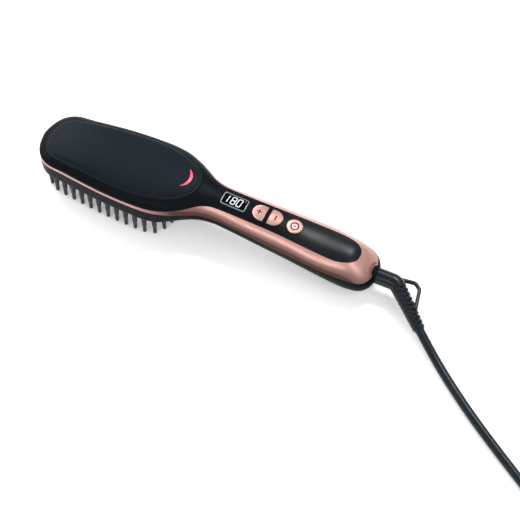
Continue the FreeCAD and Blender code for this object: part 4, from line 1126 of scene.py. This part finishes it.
def build_light(step):
    """Domed crescent lens that stands a little out of the panel."""
    def build(bm):
        surface = fitted_top("top_panel", *PANEL_FIT)
        profile = ((-0.00004, -0.0006), (-0.00004, 0.0), (0.00003, 0.00008), (0.00014, 0.00014),
                   (0.00032, 0.00018), (0.00055, 0.0002))
        rings = [lay_ring(bm, crescent_loop(inset), surface, step + lift) for inset, lift in profile]
        bridge_rings(bm, rings)
        fill_spine(bm, rings[0])
        fill_spine(bm, rings[-1])
    return build


class BRUSH_OT_head_panel(bpy.types.Operator):
    """Shape the polished panel of the head with its sloping border."""
    bl_idname = "brush.head_panel"
    bl_label = "Head panel"

    def execute(self, context):
        sizes = context.scene.brush_sizes
        add_piece("head_panel", build_panel(sizes.panel_border, sizes.panel_step), "glossy_panel",
                  "housing", ("top_panel",))
        add_piece("crescent_light", build_light(sizes.panel_step), "red_lens", "housing",
                  ("indicator_lens",))
        return {"FINISHED"}


# ---------------------------------------------------------------- display

def digit_bars(figure, left, width, stroke):
    """Outlines of a figure's lit segments, leaning a little to the right."""
    lit = {"0": "abcdef", "1": "bc", "8": "abcdefg"}[figure]
    half, gap = FIGURE_HEIGHT / 2.0, stroke * 0.16
    places = {"a": (width / 2, half), "g": (width / 2, 0.0), "d": (width / 2, -half),
              "b": (width, half / 2), "c": (width, -half / 2), "e": (0.0, -half / 2), "f": (0.0, half / 2)}
    bars = []
    for segment in lit:
        long, angle = (width, 0.0) if segment in "agd" else (half, math.pi / 2)
        outline = bar(places[segment], long - 2 * gap, stroke, angle)
        bars.append([Vector((left + p.x + p.y * FIGURE_LEAN, p.y + FIGURE_MIDDLE)) for p in outline])
    return bars


class BRUSH_OT_display(bpy.types.Operator):
    """Frame the display window and light its figures."""
    bl_idname = "brush.display"
    bl_label = "Display"

    def execute(self, context):
        sizes = context.scene.brush_sizes
        surface = fitted_top("display_window", 3, 3, 0.004)
        low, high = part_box("display_window")
        long, wide = high.x - low.x, high.y - low.y
        middle = ((low.x + high.x) / 2, 0.0)

        def framed(inset, radius):
            return rounded_box_loop(middle, long - 2 * inset, wide - 2 * inset, radius)

        def bezel(bm):
            ring_plate(bm, framed(0.00005, 0.0017), framed(sizes.bezel_width, 0.0009), surface,
                       0.00018, 0.0003)

        def figures(bm):
            for figure, left, width in FIGURES:
                for outline in digit_bars(figure, left, width, sizes.digit_stroke):
                    ribbon(bm, outline, surface, 0.00006, 0.0001)

        def degree(bm):
            outer, inner = (circle_loop(DEGREE_MIDDLE, radius, 20) for radius in DEGREE_RADII)
            ring_plate(bm, outer, inner, surface, *PRINT)

        for name, build, finish in (("display_frame", bezel, "bezel"),
                                    ("display_figures", figures, "digits"),
                                    ("display_degree", degree, "bezel")):
            add_piece(name, build, finish, "housing")
        return {"FINISHED"}


# ---------------------------------------------------------------- keys

def key_loop(name):
    """Outline of a key cap in plan, with its corners eased, counter-clockwise."""
    mesh, top = NODES[name].data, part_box(name)[1].z
    corners = [Vector(mesh.vertices[i].co.xy) for face in mesh.polygons
               if face.normal.z > 0.4 and face.center.z > top - 0.0035 for i in face.vertices]
    return softened(even_hull(corners, KEY_STEPS), 1)


def make_key(key, bevel, dish, marks):
    """A cap with a bevelled edge and a dished face, and the marks printed on it."""
    node, body = key + "_button", key + "_key"
    surface = fitted_top(node, 3, 2, 0.003)
    loop = key_loop(node)
    profile = [(0.0, -0.00045), (0.00006, -0.00020), (0.00022, -0.00004), (0.00040, 0.0),
               (bevel, -0.00002), (bevel + 0.00025, -0.00016), (bevel + 0.0005, -0.00022)]

    def hollow(share):
        return -dish * (1.0 - (1.0 - share) ** 2)

    def cap(bm):
        dished_block(bm, loop, profile, surface, KEY_RINGS, KEY_SKIRT, hollow)

    piece = add_piece(key + "_cap", cap, "key_coat", body, (node,))
    top_at = look_down(piece.data)

    def face_height(x, y):
        return top_at(x, y)[0].z

    def printed(bm):
        for outline in marks:
            if isinstance(outline, tuple):
                ring_plate(bm, *outline, face_height, *PRINT)
            else:
                ribbon(bm, outline, face_height, *PRINT)

    add_piece(key + "_mark", printed, "mark", body)


class BRUSH_OT_keys(bpy.types.Operator):
    """Shape the three key caps and print their marks."""
    bl_idname = "brush.keys"
    bl_label = "Keys"

    def execute(self, context):
        bevel = context.scene.brush_sizes.key_bevel
        make_key("plus", bevel, 0.00005,
                 [bar(PLUS_MIDDLE, MARK_LONG, 0.0009, turn) for turn in (0.0, math.pi / 2)])
        make_key("minus", bevel, 0.00005, [bar(MINUS_MIDDLE, MARK_LONG, 0.0010, math.pi / 2)])
        make_key("power", bevel, 0.00008,
                 [(circle_loop(POWER_MIDDLE, 0.0035, 40), circle_loop(POWER_MIDDLE, 0.0024, 40)),
                  bar(POWER_MIDDLE, 0.0026, 0.0008, 0.0)])
        return {"FINISHED"}


# ---------------------------------------------------------------- bristles

def bristle_tree():
    """Geometry nodes: a tapered bristle with a shoulder and a round tip on every point."""
    tree = bpy.data.node_groups.new("bristles_on_points", "GeometryNodeTree")
    for label, kind, default in (("Points", "Geometry", None), ("Length", "Float", 0.02),
                                 ("Radius", "Float", 0.002), ("Sides", "Int", 14),
                                 ("Finish", "Material", None)):
        socket = tree.interface.new_socket(name=label, in_out="INPUT", socket_type="NodeSocket" + kind)
        if default is not None:
            socket.default_value = default
    tree.interface.new_socket(name="Bristles", in_out="OUTPUT", socket_type="NodeSocketGeometry")
    given = tree.nodes.new("NodeGroupInput").outputs
    line = add_node(tree, "GeometryNodeCurvePrimitiveLine", Start=(0.0, 0.0, 0.0), End=(0.0, 0.0, 1.0))
    resample = add_node(tree, "GeometryNodeResampleCurve", Curve=line.outputs[0],
                        Count=len(BRISTLE_PROFILE))
    along = tree.nodes.new("GeometryNodeSplineParameter").outputs["Factor"]
    last = len(BRISTLE_PROFILE) - 1
    depth = shaped(tree, along, [(k / last, row[0]) for k, row in enumerate(BRISTLE_PROFILE)])
    width = shaped(tree, along, BRISTLE_PROFILE)
    place = add_node(tree, "ShaderNodeCombineXYZ", Z=maths(tree, "MULTIPLY", depth, given["Length"]))
    moved = add_node(tree, "GeometryNodeSetPosition", Geometry=resample.outputs[0],
                     Position=place.outputs[0])
    section = add_node(tree, "GeometryNodeCurvePrimitiveCircle", Resolution=given["Sides"], Radius=1.0)
    body = add_node(tree, "GeometryNodeCurveToMesh", Curve=moved.outputs[0], Fill_Caps=True,
                    Profile_Curve=section.outputs[0], Scale=maths(tree, "MULTIPLY", width, given["Radius"]))
    shaded = add_node(tree, "GeometryNodeSetShadeSmooth", Geometry=body.outputs[0])
    aim = add_node(tree, "GeometryNodeInputNamedAttribute", {"data_type": "FLOAT_VECTOR"}, Name="aim")
    turned = add_node(tree, "FunctionNodeAlignRotationToVector", {"axis": "Z"},
                      Vector=aim.outputs["Attribute"])
    spreader = add_node(tree, "GeometryNodeInstanceOnPoints", Points=given["Points"],
                        Instance=shaded.outputs[0], Rotation=turned.outputs[0])
    real = add_node(tree, "GeometryNodeRealizeInstances", Geometry=spreader.outputs[0])
    dressed = add_node(tree, "GeometryNodeSetMaterial", Geometry=real.outputs[0],
                       Material=given["Finish"])
    add_node(tree, "NodeGroupOutput", Bristles=dressed.outputs[0])
    return tree


def shaped(tree, value, places):
    """A value put through a curve of straight runs between places."""
    node = add_node(tree, "ShaderNodeFloatCurve", Value=value)
    curve = node.mapping.curves[0]
    node.mapping.use_clip = False
    curve.points[0].location = places[0]
    curve.points[1].location = places[-1]
    for x, y in places[1:-1]:
        curve.points.new(x, y)
    for point in curve.points:
        point.handle_type = "VECTOR"
    node.mapping.update()
    return node.outputs[0]


def grown_mesh(name, tree, places, settings):
    """A plain mesh with one bristle for each (root, direction) of a list."""
    points = bpy.data.meshes.new(name + "_points")
    points.from_pydata([root for root, aim in places], [], [])
    lean = points.attributes.new("aim", "FLOAT_VECTOR", "POINT")
    for item, (root, aim) in zip(lean.data, places):
        item.vector = aim
    carrier = new_object(name + "_points", points)
    modifier = carrier.modifiers.new("bristles", "NODES")
    modifier.node_group = tree
    sockets = {item.name: item.identifier for item in tree.interface.items_tree
               if item.item_type == "SOCKET" and item.in_out == "INPUT"}
    for label, value in settings.items():
        modifier[sockets[label]] = value
    mesh = bpy.data.meshes.new_from_object(carrier.evaluated_get(bpy.context.evaluated_depsgraph_get()))
    carrier.modifiers.remove(modifier)
    bpy.data.objects.remove(carrier)
    if len(mesh.polygons) < len(places) * BRISTLE_FACES:
        raise RuntimeError(name + " came out without its bristles")
    mesh.name = name
    if "aim" in mesh.attributes:
        mesh.attributes.remove(mesh.attributes["aim"])
    return mesh


def read_guards():
    """Root and direction of each guard bristle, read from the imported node."""
    places = []
    for corners in separate_solids("guard_bristles"):
        top, bottom = max(co.z for co in corners), min(co.z for co in corners)
        root = [co for co in corners if co.z > top - GUARD_ROOT_DEPTH]
        tip = [co for co in corners if co.z < bottom + GUARD_TIP_DEPTH]
        root, tip = sum(root, Vector()) / len(root), sum(tip, Vector()) / len(tip)
        places.append((root, (tip - root).normalized()))
    return places


class BRUSH_OT_bristles(bpy.types.Operator):
    """Grow the guard bristles round the field of heated teeth."""
    bl_idname = "brush.bristles"
    bl_label = "Bristles"

    def execute(self, context):
        mesh = grown_mesh("guard_teeth", bristle_tree(), read_guards(), {
            "Length": context.scene.brush_sizes.guard_length, "Radius": GUARD_RADIUS,
            "Sides": GUARD_SIDES, "Finish": FINISH["bristle_plastic"]})
        place_piece(new_object("guard_teeth", mesh), "bristle_plastic", "housing",
                    ("guard_bristles",))
        return {"FINISHED"}


# ---------------------------------------------------------------- panel and run

STEPS = ("stage", "finishes", "lead", "sleeve", "head_panel", "display", "keys", "bristles")


class VIEW3D_PT_brush(bpy.types.Panel):
    """Lists the settings and the steps that build the brush."""
    bl_label = "Straightening brush"
    bl_space_type = "VIEW_3D"
    bl_region_type = "UI"
    bl_category = "Brush"

    def draw(self, context):
        scene = context.scene
        for group in (scene.brush_look, scene.brush_sizes, scene.brush_stage):
            box = self.layout.box()
            for name in group.bl_rna.properties.keys():
                if name not in ("rna_type", "name"):
                    box.prop(group, name)
        column = self.layout.column(align=True)
        for step in STEPS:
            column.operator("brush." + step)


CLASSES = (BrushLook, BrushSizes, StageSettings, BRUSH_OT_stage, BRUSH_OT_finishes, BRUSH_OT_lead,
           BRUSH_OT_sleeve, BRUSH_OT_head_panel, BRUSH_OT_display, BRUSH_OT_keys, BRUSH_OT_bristles,
           VIEW3D_PT_brush)


def register():
    for cls in CLASSES:
        bpy.utils.register_class(cls)
    bpy.types.Scene.brush_look = bpy.props.PointerProperty(type=BrushLook)
    bpy.types.Scene.brush_sizes = bpy.props.PointerProperty(type=BrushSizes)
    bpy.types.Scene.brush_stage = bpy.props.PointerProperty(type=StageSettings)


def unregister():
    del bpy.types.Scene.brush_stage, bpy.types.Scene.brush_sizes, bpy.types.Scene.brush_look
    for cls in reversed(CLASSES):
        bpy.utils.unregister_class(cls)


def main():
    register()
    for step in STEPS:
        getattr(bpy.ops.brush, step)()


if __name__ == "__main__":
    main()
